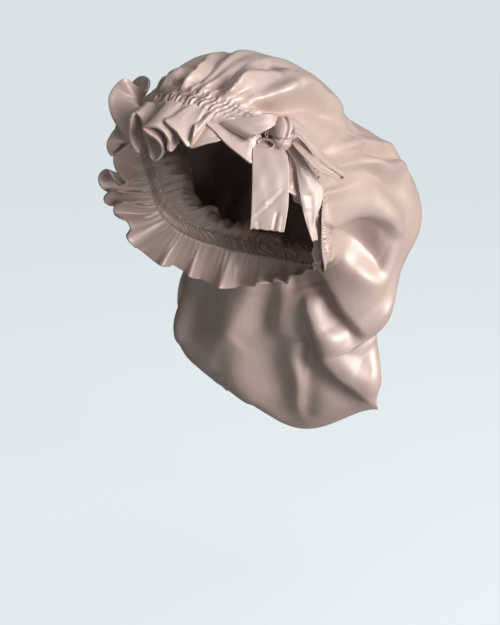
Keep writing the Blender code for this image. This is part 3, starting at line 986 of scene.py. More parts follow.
@dataclass
class CrownBag:
    """The satin tube of the crown and bag, from the casing to the bottom seam.

    Lengths are in millimetres, turns go round from the top, and stations along. A
    window is a start and a length, or for a bump its middle and half width.

    Attributes:
        row_power: Draws the rows together at the casing.
        density: Draws the sides together about dense_turn.
        dense_turn: Where they are closest.
        lap: How far the cloth lies over the casing's edge.
        lift: How far it lies above the casing.
        follow: How far it follows the casing's own way.
        cover_window: The turns where it falls over the casing, beside the ear.
        cover_lap: How far it falls over the casing there.
        cover_lift: How far it stands off the casing there.
        blend_station: Where the sections no longer bend towards the casing.
        puff_window: The depths where the cloth swells by puff.
        free_window: The depths over which the folds rise to full height.
        drift: How far the gathers lean back, in turns for a millimetre.
        drift_turn: Shifts the place where they stand straight.
        gather_fade: How soon the casing's own puckers fade.
        pair_window: The depths of the gathers in pairs.
        pair_uneven: How uneven their heights are.
        brow_gain: What the folds near the casing gain.
        brow_window: The stations over which they lose it.
        seam_window: The stations over which the folds sink into the bottom seam.
        calm_window: The depths from which fine ripples are smoothed.
        calm_passes: Times that they are smoothed round and along the tube.
        slack: Spare length of the cloth, as a share.
        gather_slack: More of it at the casing.
        slack_fade: How soon that fades.
    """

    band: HeadBand
    ruching: Ruching
    relaxer: ClothRelaxer
    sides: int = 800
    rows: int = 122
    row_power: float = 1.25
    density: float = 0.38
    dense_turn: float = 0.17
    lap: float = 1.2
    lift: float = 0.1
    follow: float = 9.0
    cover_window: Pair = (0.330, 0.088)
    cover_lap: float = 21.5
    cover_lift: float = 4.8
    blend_station: float = 0.30
    puff: float = 0.8
    puff_window: Pair = (16.0, 14.0)
    free_window: Pair = (0.5, 20.0)
    drift: float = 0.0008
    drift_turn: float = 0.09
    gather_fade: float = 9.0
    pair_window: Pair = (10.0, 8.0)
    pair_uneven: float = 0.7
    fold_scale: float = 1.25
    brow_gain: float = 0.40
    brow_window: Pair = (0.10, 0.15)
    seam_window: Pair = (0.92, 0.08)
    calm_window: Pair = (22.0, 18.0)
    calm_passes: tuple[int, int] = (6, 2)
    slack: float = 0.02
    gather_slack: float = 0.03
    slack_fade: float = 40.0
    sections: tuple[Section, ...] = rows_of(
        Section,
        (0.0, -83.0, 76.0, 80.0, -55.0, 77.0, 0.0, 2.0, 0.0),
        (0.05, -79.0, 88.0, 90.0, -51.0, 74.0, 0.0, 2.0, 0.0),
        (0.11, -66.0, 98.0, 99.0, -58.0, 74.0, 0.0, 2.0, 0.0),
        (0.18, -32.0, 106.0, 102.0, -70.0, 76.0, 0.0, 2.0, 0.0),
        (0.25, 10.0, 108.0, 103.0, -83.0, 81.0, 0.0, 2.05, 0.0),
        (0.32, 53.0, 99.0, 103.0, -97.0, 88.0, 0.0, 2.15, 0.0),
        (0.39, 86.0, 75.0, 103.0, -110.0, 93.0, 0.0, 2.3, 0.0),
        (0.44, 112.0, 59.0, 103.0, -121.0, 98.0, -1.0, 2.3, 0.0),
        (0.51, 156.0, 50.0, 103.0, -134.0, 107.0, -3.0, 2.3, 0.0),
        (0.58, 192.0, 27.0, 103.0, -146.0, 114.0, -6.0, 2.3, 0.0),
        (0.65, 202.0, -10.0, 104.0, -156.0, 112.0, -14.0, 2.3, 0.0),
        (0.72, 176.0, -54.0, 106.0, -168.0, 105.0, -25.0, 2.3, 1.0),
        (0.8, 150.0, -100.0, 109.0, -184.0, 104.0, -30.0, 2.4, 4.0),
        (0.88, 146.0, -148.0, 114.0, -204.0, 99.0, -24.0, 2.6, 11.0),
        (0.95, 138.0, -200.0, 122.0, -226.0, 84.0, -11.0, 2.8, 20.0),
        (1.0, 130.5, -240.0, 130.5, -240.0, 78.0, 0.0, 3.0, 28.0),
    )
    folds: tuple[Fold, ...] = (
        soft("brow_lobe", 4.0, 5.0, (0.945, 0.008, 1.5), (0.943, 0.032, 3.0), (0.939, 0.066, 3.5),
            (0.943, 0.098, 2.5)),
        sharp("brow_valley_a", 3.0, 3.0, (0.954, 0.0, -3.0), (0.963, 0.016, -3.5), (0.971, 0.038, -4.0),
            (0.976, 0.05, -3.0)),
        sharp("brow_valley_b", 3.5, 3.0, (0.97, 0.0, -3.0), (0.97, 0.018, -4.0), (0.979, 0.054, -6.0),
            (0.983, 0.092, -6.0), (0.98, 0.132, -5.0), (0.97, 0.174, -3.0)),
        sharp("brow_valley_c", 2.5, 2.5, (0.979, 0.0, -3.0), (0.98, 0.018, -4.0), (0.983, 0.044, -5.0),
            (0.986, 0.084, -4.0), (0.988, 0.114, -2.0)),
        soft("brow_ridge_a", 3.5, 4.0, (0.985, 0.002, 2.0), (0.988, 0.03, 4.0), (0.993, 0.066, 4.5),
            (0.993, 0.118, 4.0), (0.981, 0.176, 3.0)),
        sharp("brow_valley_d", 3.2, 3.2, (0.991, 0.0, -3.0), (0.991, 0.016, -5.0), (0.0, 0.038, -6.0),
            (0.009, 0.074, -6.0), (0.013, 0.124, -5.5), (0.004, 0.178, -4.0), (0.994, 0.216, -2.0)),
        soft("brow_ridge_b", 3.0, 4.0, (0.0, 0.0, 2.0), (0.005, 0.024, 3.0), (0.011, 0.046, 3.5),
            (0.016, 0.088, 4.0), (0.015, 0.14, 4.0), (0.011, 0.176, 3.0), (0.011, 0.218, 2.0)),
        sharp("brow_valley_e", 3.2, 4.5, (0.006, 0.014, -6.0), (0.013, 0.036, -6.5), (0.019, 0.064, -6.0),
            (0.025, 0.096, -5.0), (0.028, 0.132, -3.5), (0.029, 0.168, -2.0)),
        soft("brow_ridge_c", 4.0, 4.0, (0.016, 0.008, 3.0), (0.025, 0.04, 4.0), (0.035, 0.066, 4.0),
            (0.043, 0.108, 4.0), (0.045, 0.146, 3.0), (0.043, 0.182, 2.0)),
        sharp("brow_valley_f", 3.2, 4.2, (0.019, 0.012, -5.0), (0.031, 0.036, -6.0), (0.043, 0.078, -6.0),
            (0.049, 0.122, -5.5), (0.05, 0.156, -4.0), (0.049, 0.2, -2.0)),
        soft("brow_valley_g", 5.0, 3.5, (0.03, 0.0, -3.0), (0.04, 0.016, -4.0), (0.05, 0.04, -4.5),
            (0.055, 0.076, -4.5), (0.054, 0.108, -3.0), (0.054, 0.136, -1.5)),
        soft("brow_ridge_d", 4.0, 4.5, (0.044, 0.006, 5.0), (0.052, 0.028, 6.0), (0.059, 0.06, 7.0),
            (0.061, 0.1, 7.0), (0.059, 0.138, 6.5), (0.055, 0.182, 5.0), (0.055, 0.22, 3.0)),
        soft("crown_hollow", 7.0, 7.0, (0.061, 0.032, -2.5), (0.072, 0.04, -4.0), (0.084, 0.058, -3.0),
            (0.096, 0.094, -2.0)),
        soft("crown_valley_a", 6.0, 6.0, (0.065, 0.076, -3.0), (0.066, 0.12, -3.5), (0.068, 0.158, -3.0),
            (0.071, 0.19, -2.0)),
        soft("crown_ridge_a", 3.5, 5.5, (0.062, 0.062, 2.0), (0.07, 0.1, 4.0), (0.076, 0.128, 4.5),
            (0.085, 0.152, 4.5), (0.095, 0.166, 3.5)),
        sharp("crown_crease", 2.2, 2.2, (0.054, 0.206, -0.5), (0.068, 0.194, -1.6), (0.084, 0.178, -2.2),
            (0.095, 0.168, -2.5)),
        soft("crown_ridge_b", 4.0, 6.0, (0.095, 0.17, 3.0), (0.092, 0.192, 3.5), (0.101, 0.2, 3.0),
            (0.116, 0.202, 2.5), (0.129, 0.212, 1.5)),
        soft("crown_valley_b", 6.0, 5.0, (0.101, 0.142, -1.0), (0.113, 0.164, -2.0), (0.124, 0.182, -2.5),
            (0.138, 0.194, -2.0)),
        sharp("knot_pinch", 3.0, 3.0, (0.054, 0.004, -4.0), (0.065, 0.018, -4.5), (0.075, 0.028, -3.0)),
        soft("knot_ridge_a", 6.0, 3.0, (0.068, 0.0, 4.0), (0.076, 0.022, 5.0), (0.09, 0.044, 5.0),
            (0.11, 0.076, 5.0), (0.122, 0.114, 6.0), (0.128, 0.154, 6.0)),
        sharp("knot_valley_a", 2.5, 3.0, (0.071, 0.0, -5.0), (0.089, 0.026, -6.0), (0.107, 0.052, -7.0),
            (0.117, 0.074, -6.0), (0.125, 0.098, -3.0)),
        soft("panel", 9.0, 2.6, (0.121, 0.088, 3.0), (0.128, 0.12, 6.0), (0.133, 0.162, 8.0),
            (0.138, 0.186, 7.0), (0.145, 0.21, 6.0), (0.155, 0.24, 4.5), (0.159, 0.271, 3.0)),
        soft("panel_under", 3.5, 6.5, (0.119, 0.058, -4.0), (0.134, 0.098, -6.0), (0.141, 0.14, -7.0),
            (0.145, 0.172, -6.5), (0.151, 0.2, -5.0), (0.161, 0.23, -4.0), (0.166, 0.277, -3.0)),
        soft("knot_ridge_b", 3.0, 3.5, (0.083, 0.01, 4.0), (0.1, 0.03, 3.5), (0.115, 0.048, 2.0)),
        sharp("knot_valley_b", 3.0, 4.0, (0.086, 0.0, -4.5), (0.098, 0.012, -5.0), (0.109, 0.036, -4.0)),
        soft("side_ridge", 7.0, 7.0, (0.115, 0.03, 2.0), (0.139, 0.068, 3.0), (0.152, 0.126, 4.0),
            (0.158, 0.17, 3.5), (0.158, 0.22, 2.0)),
        soft("side_valley", 6.0, 7.0, (0.149, 0.062, -3.0), (0.164, 0.112, -4.5), (0.171, 0.142, -4.0),
            (0.174, 0.196, -2.0)),
        soft("side_dent", 4.0, 5.0, (0.159, 0.21, -1.5), (0.165, 0.224, -3.0), (0.174, 0.24, -2.0)),
        sharp("crown_end", 3.0, 3.5, (0.216, 0.102, -3.0), (0.214, 0.182, -5.0), (0.2, 0.261, -5.0),
            (0.176, 0.327, -3.5)),
        soft("top_ridge", 4.0, 4.0, (0.217, 0.14, 3.0), (0.214, 0.253, 5.0), (0.149, 0.413, 5.5),
            (0.125, 0.519, 2.5)),
        soft("first_valley", 2.8, 3.0, (0.22, 0.102, -5.0), (0.226, 0.214, -8.0), (0.212, 0.303, -8.0),
            (0.15, 0.453, -6.0), (0.155, 0.505, -2.5)),
        soft("first_ridge", 3.6, 4.4, (0.228, 0.098, 4.0), (0.235, 0.228, 7.0), (0.209, 0.351, 8.0),
            (0.164, 0.479, 7.0), (0.172, 0.509, 3.0)),
        soft("soft_valley", 4.5, 6.5, (0.25, 0.188, -2.0), (0.247, 0.263, -4.5), (0.239, 0.343, -5.5),
            (0.21, 0.449, -4.5), (0.219, 0.489, -1.5)),
        sharp("slit", 2.2, 2.2, (0.253, 0.03, -4.0), (0.27, 0.152, -4.5), (0.27, 0.218, -3.5),
            (0.264, 0.265, -1.0)),
        soft("pillow", 8.0, 8.0, (0.273, 0.066, 1.5), (0.28, 0.178, 5.5), (0.278, 0.265, 7.5),
            (0.254, 0.367, 6.5), (0.241, 0.453, 3.0)),
        soft("pillow_rim", 7.0, 2.8, (0.266, 0.0, 0.5), (0.304, 0.096, 5.0), (0.307, 0.234, 7.5),
            (0.295, 0.313, 7.5), (0.275, 0.393, 6.5), (0.266, 0.459, 3.0)),
        soft("bowl", 12.0, 4.5, (0.324, 0.076, -2.0), (0.34, 0.18, -5.0), (0.354, 0.26, -8.0),
            (0.351, 0.33, -9.0), (0.342, 0.385, -8.5), (0.335, 0.42, -6.5), (0.33, 0.45, -2.5)),
        soft("pinch_hole", 3.2, 3.6, (0.301, 0.022, -3.5), (0.335, 0.05, -5.5), (0.362, 0.13, -5.5),
            (0.374, 0.208, -3.0), (0.37, 0.275, -1.0)),
        soft("overlap_ridge", 4.5, 10.0, (0.345, 0.03, 1.5), (0.37, 0.13, 3.5), (0.381, 0.285, 5.5),
            (0.371, 0.356, 5.5), (0.358, 0.421, 4.5), (0.35, 0.475, 2.0)),
        soft("waist", 14.0, 14.0, (0.278, 0.5, -2.5), (0.28, 0.55, -7.0), (0.282, 0.6, -10.0),
            (0.285, 0.65, -9.0), (0.288, 0.7, -4.0)),
        soft("elbow", 12.0, 12.0, (0.335, 0.6, 1.0), (0.343, 0.64, 3.5), (0.35, 0.69, 4.5),
            (0.352, 0.74, 2.5)),
        soft("crown_dip", 12.0, 12.0, (0.126, 0.318, -2.5), (0.138, 0.332, -7.0), (0.149, 0.35, -9.0),
            (0.158, 0.372, -8.0), (0.165, 0.395, -4.0)),
        soft("overlap", 12.0, 2.6, (0.444, 0.178, 4.0), (0.434, 0.246, 6.0), (0.427, 0.299, 7.0),
            (0.421, 0.379, 7.0), (0.412, 0.451, 6.5), (0.404, 0.549, 4.5), (0.382, 0.63, 1.5)),
        soft("overlap_under", 2.6, 6.5, (0.448, 0.246, -4.0), (0.44, 0.317, -7.0), (0.429, 0.411, -8.0),
            (0.42, 0.497, -8.0), (0.401, 0.617, -4.0), (0.372, 0.69, -1.0)),
        soft("second_ridge", 7.0, 8.0, (0.459, 0.351, 3.0), (0.454, 0.443, 5.0), (0.439, 0.541, 6.0),
            (0.404, 0.663, 5.0), (0.344, 0.774, 2.0)),
        soft("second_edge", 10.0, 2.2, (0.465, 0.395, 3.0), (0.461, 0.501, 6.0), (0.449, 0.607, 7.5),
            (0.394, 0.786, 8.0), (0.374, 0.86, 7.0), (0.345, 0.926, 5.0), (0.31, 0.966, 1.5)),
        soft("second_under", 2.4, 7.5, (0.469, 0.473, -3.0), (0.454, 0.633, -6.0), (0.406, 0.796, -7.0),
            (0.389, 0.876, -6.0), (0.364, 0.934, -2.5)),
        soft("third_edge", 5.0, 3.0, (0.474, 0.563, -3.0), (0.438, 0.731, -5.0), (0.434, 0.844, -5.0),
            (0.456, 0.936, -3.0)),
        soft("third_ridge", 6.0, 6.0, (0.471, 0.633, 2.5), (0.441, 0.802, 4.5), (0.463, 0.914, 3.0)),
        soft("lower_ridge", 5.0, 5.0, (0.406, 0.709, 1.5), (0.37, 0.786, 2.5), (0.344, 0.862, 2.5),
            (0.29, 0.946, 1.5)),
        soft("shade_drape", 9.0, 9.0, (0.544, 0.417, -2.0), (0.514, 0.613, -5.0), (0.476, 0.846, -6.0),
            (0.511, 0.972, -4.0)),
        soft("neck_drape", 10.0, 10.0, (0.595, 0.487, 2.0), (0.547, 0.709, 5.0), (0.545, 0.902, 4.0)),
    )

    def plain(self, turns: Array, stations: Array) -> Array:
        """The tube before its folds: rounded sections that run into the casing's edge.

        A section is a superellipse, |x/a|^p + |h/b|^p = 1, between its top and under
        points. Over the first stations an eased offset brings it to the casing, whose
        own way it follows first. Beside the ear its edge falls over the casing.

        Args:
            turns: Places round the section, in turns from its top.
            stations: Places along the tube, from 0 to 1.

        Returns:
            Points in millimetres.
        """
        table = columns(self.sections)
        part = {name: smooth(stations, table["station"], table[name]) for name in table}
        angle = 2 * np.pi * turns
        power = part["squareness"]
        norm = (np.abs(np.cos(angle)) ** power + np.abs(np.sin(angle)) ** power) ** (1 / power)
        deep, wide = np.cos(angle) / norm, np.sin(angle) / norm
        x = part["middle_x"] + part["half_width"] * wide
        y = (part["top_y"] + part["under_y"]) / 2 + (part["top_y"] - part["under_y"]) / 2 * deep
        z = (part["top_z"] + part["under_z"]) / 2 + (part["top_z"] - part["under_z"]) / 2 * deep
        grid = np.stack([x, y, z + part["corner_rise"] * (1 - (1 - wide**2) ** 2)], axis=-1)
        frame = self.band.frame(turns[:, 0])
        cover = self.cover(turns[:, :1])
        back = self.band.width / 2 - self.lap - self.cover_lap * cover
        edge = frame.point - back * frame.face + (self.lift + self.cover_lift * cover) * frame.out
        reach = ease(1 - stations / self.blend_station)
        grid = grid + (edge - grid[:, 0])[:, None, :] * reach[..., None]
        depth = self.depths(grid)
        straight = edge[:, None, :] - depth[..., None] * frame.face[:, None, :]
        share = 1 - ease(depth / self.follow)
        return grid + share[..., None] * (straight - grid)

    def cover(self, turns: Array) -> Array:
        """How far the cloth falls over the casing beside the ear, exp(-d^4), 0 to 1."""
        return bump(turns, self.cover_window, power=4)

    @staticmethod
    def depths(grid: Array) -> Array:
        """Distances along the cloth from its edge, as summed steps of the grid."""
        steps = np.linalg.norm(np.diff(grid, axis=1), axis=-1)
        return np.concatenate([np.zeros((len(grid), 1)), np.cumsum(steps, axis=1)], axis=1)

    def hidden_folds(self) -> list[Fold]:
        """Folds that run out of the casing on the wearer's right and under the nape.

        Each is a narrow valley at its own turn that drifts backwards, and every third
        goes on as a long soft fold down the bag. More soft folds run down the back.

        Returns:
            The folds.
        """
        draw = np.random.default_rng(7)
        quarters = (0.0, 0.25, 0.5, 0.75, 1.0)
        made = []
        for index, turn in enumerate(np.arange(0.508, 0.946, 0.0135)):
            drift = 0.016 * math.cos(2 * math.pi * turn) + draw.uniform(-0.006, 0.006)
            end = draw.uniform(0.09, 0.20) * (1.5 if index % 3 == 0 else 1.0)
            deep = draw.uniform(3.2, 5.6)
            route = [
                (turn + drift * q**1.5, end * q, -deep * (1 - 0.45 * q)) for q in (0.0, 0.3, 0.65, 1.0)
            ]
            made.append(sharp("far_gather", 3.2, 3.6, *route))
            if index % 3 == 1:
                reach = draw.uniform(0.55, 0.93)
                sway = draw.uniform(-0.03, 0.03)
                tall = draw.uniform(3.0, 6.5) * (1 if index % 2 else -1)
                start = 0.08
                route = [
                    (
                        turn + drift + sway * math.sin(3 * q),
                        start + (reach - start) * q,
                        tall * (0.5 + q * (1 - q) * 2),
                    )
                    for q in quarters
                ]
                widths = draw.uniform(5, 11), draw.uniform(5, 11)
                made.append(soft("far_drape", *widths, *route))
        for index, turn in enumerate(np.arange(-0.27, 0.09, 0.045)):
            start, end = draw.uniform(0.33, 0.52), 0.94
            sway = draw.uniform(-0.025, 0.025)
            tall = draw.uniform(3.5, 6.0) * (1 if index % 2 else -1)
            route = [
                (
                    turn + sway * math.sin(3.5 * q),
                    start + (end - start) * q,
                    tall * (0.45 + 2.4 * q * (1 - q)),
                )
                for q in quarters
            ]
            widths = draw.uniform(6, 12), draw.uniform(6, 12)
            made.append(soft("back_drape", *widths, *route))
        return made

    def gathers(self, turns: Array, depth: Array) -> Array:
        """Gathers that run out of the casing's puckers and merge in pairs.

        They lean backwards by drift sin(2 pi (turn + drift_turn)) of the depth. The
        first wave goes on from the casing and fades like exp(-(depth / fade)^2), and
        one of half as many ridges swells further on.

        Args:
            turns: Places round the tube.
            depth: Distance along the cloth from the casing, in millimetres.

        Returns:
            Heights in millimetres.
        """
        over = 1.0 - self.lap / self.band.width + depth / self.band.width
        leaning = turns - self.drift * depth * np.sin(2 * np.pi * (turns + self.drift_turn))
        free = 1 - self.cover(turns)
        first = self.ruching.push(leaning, over) * (np.exp(-((depth / self.gather_fade) ** 2)) * free)
        pairs = 2 * self.ruching.ridge(leaning, over, self.ruching.puckers // 2) - 1
        strong = 1.0 + self.pair_uneven * wander(leaning, depth / 80.0, 62, waves=23, rows=0.5)
        return first + pairs * strong * free * bump(depth, self.pair_window)

    def calmed(self, grid: Array, depth: Array) -> Array:
        """Smooths ripples narrower than a fold: a point moves towards its neighbours' mean.

        It moves by half of the way round the tube and by a quarter along it, and by none
        near the casing.

        Args:
            grid: The settled cloth.
            depth: Distance along the cloth from the casing, in millimetres.

        Returns:
            The smoothed cloth.
        """
        share = (0.5 * rise(depth, self.calm_window))[..., None]
        for _ in range(self.calm_passes[0]):
            grid = grid + share * ((np.roll(grid, 1, 0) + np.roll(grid, -1, 0)) / 2 - grid)
        for _ in range(self.calm_passes[1]):
            inner = (grid[:, 2:] + grid[:, :-2]) / 2 - grid[:, 1:-1]
            grid[:, 1:-1] += 0.5 * share[:, 1:-1] * inner
        return grid

    def surface(self) -> Array:
        """The finished cloth: the plain tube pushed out by folds and gathers, then settled.

        The turns lie closer together on the wearer's left, where the folds are finest.

        Returns:
            Points in millimetres.
        """
        share = np.arange(self.sides) / self.sides
        dense = share - self.density / (2 * np.pi) * np.sin(2 * np.pi * (share - self.dense_turn))
        along = np.linspace(0.0, 1.0, self.rows) ** self.row_power
        turns, stations = np.meshgrid(dense, along, indexing="ij")
        grid = self.plain(turns, stations)
        depth = self.depths(grid)
        near_brow = 1 - rise(stations, self.brow_window)
        push = FoldField(turns, stations, grid).heights(list(self.folds) + self.hidden_folds())
        push *= self.fold_scale + self.brow_gain * near_brow
        push += self.puff * bump(depth, self.puff_window)
        push *= rise(depth, self.free_window)
        push += self.gathers(turns, depth)
        free = np.sqrt(np.cos(np.pi / 2 * rise(stations, self.seam_window)))
        aim = grid + grid_normals(grid, closed=True) * (push * free)[..., None]
        spare = self.slack + self.gather_slack * np.exp(-depth / self.slack_fade)
        return self.calmed(self.relaxer.settle(aim, aim, spare), depth)

    def build(self, material: bpy.types.Material) -> None:
        """Makes the piece and dresses it.

        Args:
            material: Its satin.
        """
        grid = self.surface() * MM
        piece = mesh_object("satin_crown_bag", Patch(grid, closed=True))
        dress(piece, material, "crown_satin", "crown_bag")


# ---- Casing -------------------------------------------------------------------------
@dataclass
class GatheredCasing:
    """The band of satin puckered over its elastic between two stitch lines.

    Attributes:
        wall: The satin's thickness in millimetres.
        rise_share: The share of the width over which it rises from the ruffle's seam.
        dip: How far it dips at the crown's stitches, as a share.
        dip_window: Where the dip starts, and how far it goes on, as shares of the width.
        edge_wave: How far the ridges lengthen the ruffle's edge, in millimetres.
    """

    band: HeadBand
    ruching: Ruching
    sides: int = 1560
    rows: int = 19
    wall: float = 0.5
    rise_share: float = 0.22
    dip: float = 0.25
    dip_window: Pair = (0.8, 0.2)
    edge_wave: float = 0.9

    def surface(self) -> Array:
        """The puckered band: rows across it, pushed out by the ruching.

        The push rises from the ruffle's seam and dips at the crown's stitches. The
        ridges also lengthen the ruffle's edge.

        Returns:
            Points in millimetres.
        """
        turns = np.arange(self.sides) / self.sides
        frame = self.band.frame(turns)
        q = np.linspace(0.0, 1.0, self.rows)
        around, over = np.meshgrid(turns, q, indexing="ij")
        bulge = ease(over / self.rise_share) * (1 - self.dip * rise(over, self.dip_window))
        push = self.ruching.push(around, over) * bulge
        ridge = self.ruching.ridge(around, over, self.ruching.puckers)
        place = (0.5 - over) * self.band.width + self.edge_wave * (ridge - 0.5) * (1 - over) ** 2
        return (
            frame.point[:, None, :]
            + place[..., None] * frame.face[:, None, :]
            + push[..., None] * frame.out[:, None, :]
        )

    def build(self, material: bpy.types.Material) -> None:
        """Makes the piece and dresses it.

        Args:
            material: Its satin.
        """
        grid = self.surface() * MM
        piece = mesh_object("puckered_casing", Patch(grid, closed=True))
        thicken(piece, self.wall * MM, offset=-1.0)
        dress(piece, material, "casing_satin", "gathered_casing")


# ---- Ruffle -------------------------------------------------------------------------
class HemPoint(NamedTuple):
    """A place on the ruffle's hem as it looks from the front left.

    Across and up are as in Sight, and near is how much closer to the eye it lies than
    its seam, all in millimetres.
    """

    degrees: float
    across: float
    up: float
    near: float


class NapeWave(NamedTuple):
    """How the ruffle stands at a place round the ears and the nape."""

    degrees: float
    wave: float
    overlap: float
    pitch: float
    length: float


@dataclass
class Frill:
    """The doubled satin ruffle below the casing. Lengths are in millimetres.

    The way in which the cloth leaves its seam is a mix of the ways out of the head, to
    the face and straight to the hem.

    Attributes:
        seam_lap: How far the ruffle's top lies under the casing's edge.
        rim: The thickness of its two leaves at the hem, wall being that elsewhere.
        rim_window: Where they start to swell, and how far that goes on, as shares.
        leave_seen: The mix where the ruffle is seen.
        leave_nape: The mix round the ears and the nape.
        leave_temple: The mix over the far temple.
        seen_window: Middle and half width of the seen part, in degrees.
        temple_window: Middle and half width of the far temple, in degrees.
        leave_reach: How far the cloth keeps its first way, as a share of its length.
        arrive_reach: How far it keeps its last way.
        pleat_height: Height of the pleats below the seam.
        pleat_fade: The share of the way to the hem where they are highest.
        fold_pitch: Degrees from one fold to the next at the nape.
        stray: How far those folds stray, in degrees, and how fast that changes.
        uneven: How uneven they are, as a share, and how fast that changes.
    """

    band: HeadBand
    ruching: Ruching
    sight: Sight
    steps: int = 10
    rows: int = 18
    seam_lap: float = 0.8
    wall: float = 1.0
    rim: float = 2.1
    rim_window: Pair = (0.80, 0.18)
    leave_seen: Triple = (0.85, -1.0, 0.15)
    leave_nape: Triple = (0.7, 0.4, 0.8)
    leave_temple: Triple = (0.15, -1.0, 0.55)
    seen_window: Pair = (-8.0, 52.0)
    temple_window: Pair = (-41.0, 11.0)
    leave_reach: float = 0.5
    arrive_reach: float = 0.30
    pleat_height: float = 1.1
    pleat_fade: float = 0.16
    fold_pitch: float = 13.0
    stray: Pair = (1.6, 1.7)
    uneven: Pair = (0.22, 2.3)
    hem: tuple[HemPoint, ...] = rows_of(
        HemPoint,
        (-120.0, -85.5, -48.0, 12.0), (-118.2, -91.0, -40.5, 18.0), (-116.6, -88.0, -34.0, 23.0),
        (-115.0, -91.0, -27.5, 24.0), (-113.4, -97.5, -24.5, 21.0), (-111.8, -101.5, -20.5, 16.0),
        (-110.2, -100.0, -14.5, 21.0), (-108.6, -93.5, -12.0, 24.0), (-107.0, -97.5, -14.5, 14.0),
        (-105.4, -107.0, -14.0, 10.0), (-103.8, -109.5, -9.0, 15.0), (-102.2, -104.0, -3.5, 22.0),
        (-100.6, -96.5, -3.5, 24.0), (-99.0, -96.5, -5.0, 14.0), (-97.4, -105.0, -4.5, 10.0),
        (-95.8, -112.0, 0.0, 13.0), (-94.2, -114.0, 6.5, 14.0), (-92.6, -112.0, 11.5, 15.0),
        (-91.0, -107.0, 13.5, 18.0), (-89.4, -102.5, 6.5, 21.0), (-87.8, -96.0, 1.0, 23.0),
        (-86.2, -91.0, 4.0, 23.0), (-84.6, -96.0, 9.0, 21.0), (-83.0, -100.5, 16.5, 19.0),
        (-81.4, -101.0, 25.0, 18.0), (-79.8, -95.0, 30.0, 20.0), (-78.2, -90.0, 35.0, 21.0),
        (-76.4, -96.5, 29.5, 18.0), (-74.0, -103.5, 26.0, 15.0), (-71.0, -107.0, 33.5, 12.0),
        (-67.0, -104.5, 41.5, 6.0), (-63.0, -100.0, 48.0, -12.0), (-59.0, -97.5, 57.5, -14.0),
        (-55.0, -94.5, 70.5, -18.0), (-51.0, -87.0, 83.5, -22.0), (-47.0, -79.5, 89.5, -24.0),
        (-43.5, -73.0, 87.0, -20.0), (-40.5, -75.5, 78.0, -8.0), (-38.0, -83.5, 81.5, 2.0),
        (-35.5, -92.5, 87.5, 10.0), (-33.5, -101.0, 81.5, 6.0), (-31.5, -105.5, 72.5, 2.0),
        (-29.5, -104.5, 62.0, 0.0), (-28.0, -101.0, 53.5, 3.0), (-26.5, -96.0, 45.5, 7.0),
        (-25.0, -89.5, 37.5, 13.0), (-23.7, -81.5, 27.5, 18.0), (-22.3, -87.0, 35.0, 21.0),
        (-20.8, -89.0, 45.5, 22.0), (-19.2, -88.0, 55.5, 20.0), (-17.5, -84.5, 60.0, 17.0),
        (-16.0, -80.5, 57.0, 16.0), (-14.6, -77.5, 50.5, 15.0), (-13.3, -75.5, 41.5, 13.0),
        (-12.2, -73.0, 32.5, 12.0), (-11.2, -72.5, 25.0, 11.0), (-10.0, -68.5, 21.5, 11.0),
        (-8.6, -63.5, 25.0, 14.0), (-7.3, -62.0, 31.0, 18.0), (-6.2, -66.5, 38.5, 20.0),
        (-5.1, -73.0, 43.0, 21.0), (-4.0, -78.0, 47.5, 21.0), (-3.0, -73.0, 49.5, 23.0),
        (-1.9, -66.5, 48.5, 23.0), (-0.8, -61.0, 44.5, 21.0), (0.3, -57.0, 37.5, 18.0),
        (1.4, -57.5, 31.0, 15.0), (2.5, -54.5, 29.5, 10.0), (3.7, -49.0, 36.5, 7.0),
        (4.7, -50.5, 44.0, 3.0), (5.7, -54.5, 51.0, 4.0), (6.6, -58.0, 55.5, 10.0),
        (7.6, -60.0, 53.5, 16.0), (8.6, -56.0, 49.5, 17.0), (9.7, -51.0, 45.5, 16.0),
        (11.0, -46.5, 39.0, 15.0), (12.3, -41.5, 33.0, 13.0), (13.5, -39.0, 40.5, 8.0),
        (14.7, -36.0, 48.0, 7.0), (15.8, -36.0, 49.5, 12.0), (17.0, -38.0, 40.5, 15.0),
        (18.3, -39.5, 32.5, 9.0), (20.0, -33.5, 33.5, 10.0), (22.0, -24.5, 36.0, 9.0),
        (24.0, -15.5, 38.0, 7.0), (25.3, -12.0, 42.5, 3.0), (26.4, -19.5, 48.5, 4.0),
        (27.5, -27.0, 52.0, 9.0), (28.7, -19.5, 45.0, 10.0), (30.3, -10.0, 35.0, 10.0),
        (32.2, 1.0, 26.0, 10.0), (34.4, 10.0, 19.5, 9.0), (36.8, 15.5, 22.0, 4.0),
        (40.0, 20.5, 16.5, 3.0),
    )
    nape: tuple[NapeWave, ...] = rows_of(
        NapeWave,
        (42.0, 1.5, 1.0, 0.0, 26.0), (66.0, 3.0, 2.0, 0.0, 26.0), (84.0, 2.5, 1.5, -6.0, 16.0),
        (96.0, 1.5, 0.8, -25.0, 10.0), (122.0, 1.5, 0.8, -25.0, 10.0), (140.0, 1.5, 0.6, -22.0, 11.0),
        (157.0, 1.6, 0.4, -10.0, 14.0), (173.0, 4.5, 1.4, 12.0, 21.0), (190.0, 8.0, 3.2, 34.0, 29.0),
        (210.0, 9.0, 4.0, 40.0, 32.0), (236.0, 9.0, 4.0, 52.0, 34.0),
    )

    def seam(self, degrees: Array) -> BandFrame:
        """The casing's lower edge, where the ruffle is sewn on."""
        frame = self.band.frame(degrees / 360.0)
        return frame._replace(point=frame.point + (self.band.width / 2 - self.seam_lap) * frame.face)

    def seen_hem(self) -> tuple[Array, Array]:
        """The hem's places from the table, put back along their lines of sight.

        The distance along the line is the seam's own less the table's near.

        Returns:
            Degrees, and points in millimetres.
        """
        table = columns(self.hem)
        near = self.sight.nearness(self.seam(table["degrees"]).point) + table["near"]
        return table["degrees"], self.sight.place(table["across"], table["up"], near)

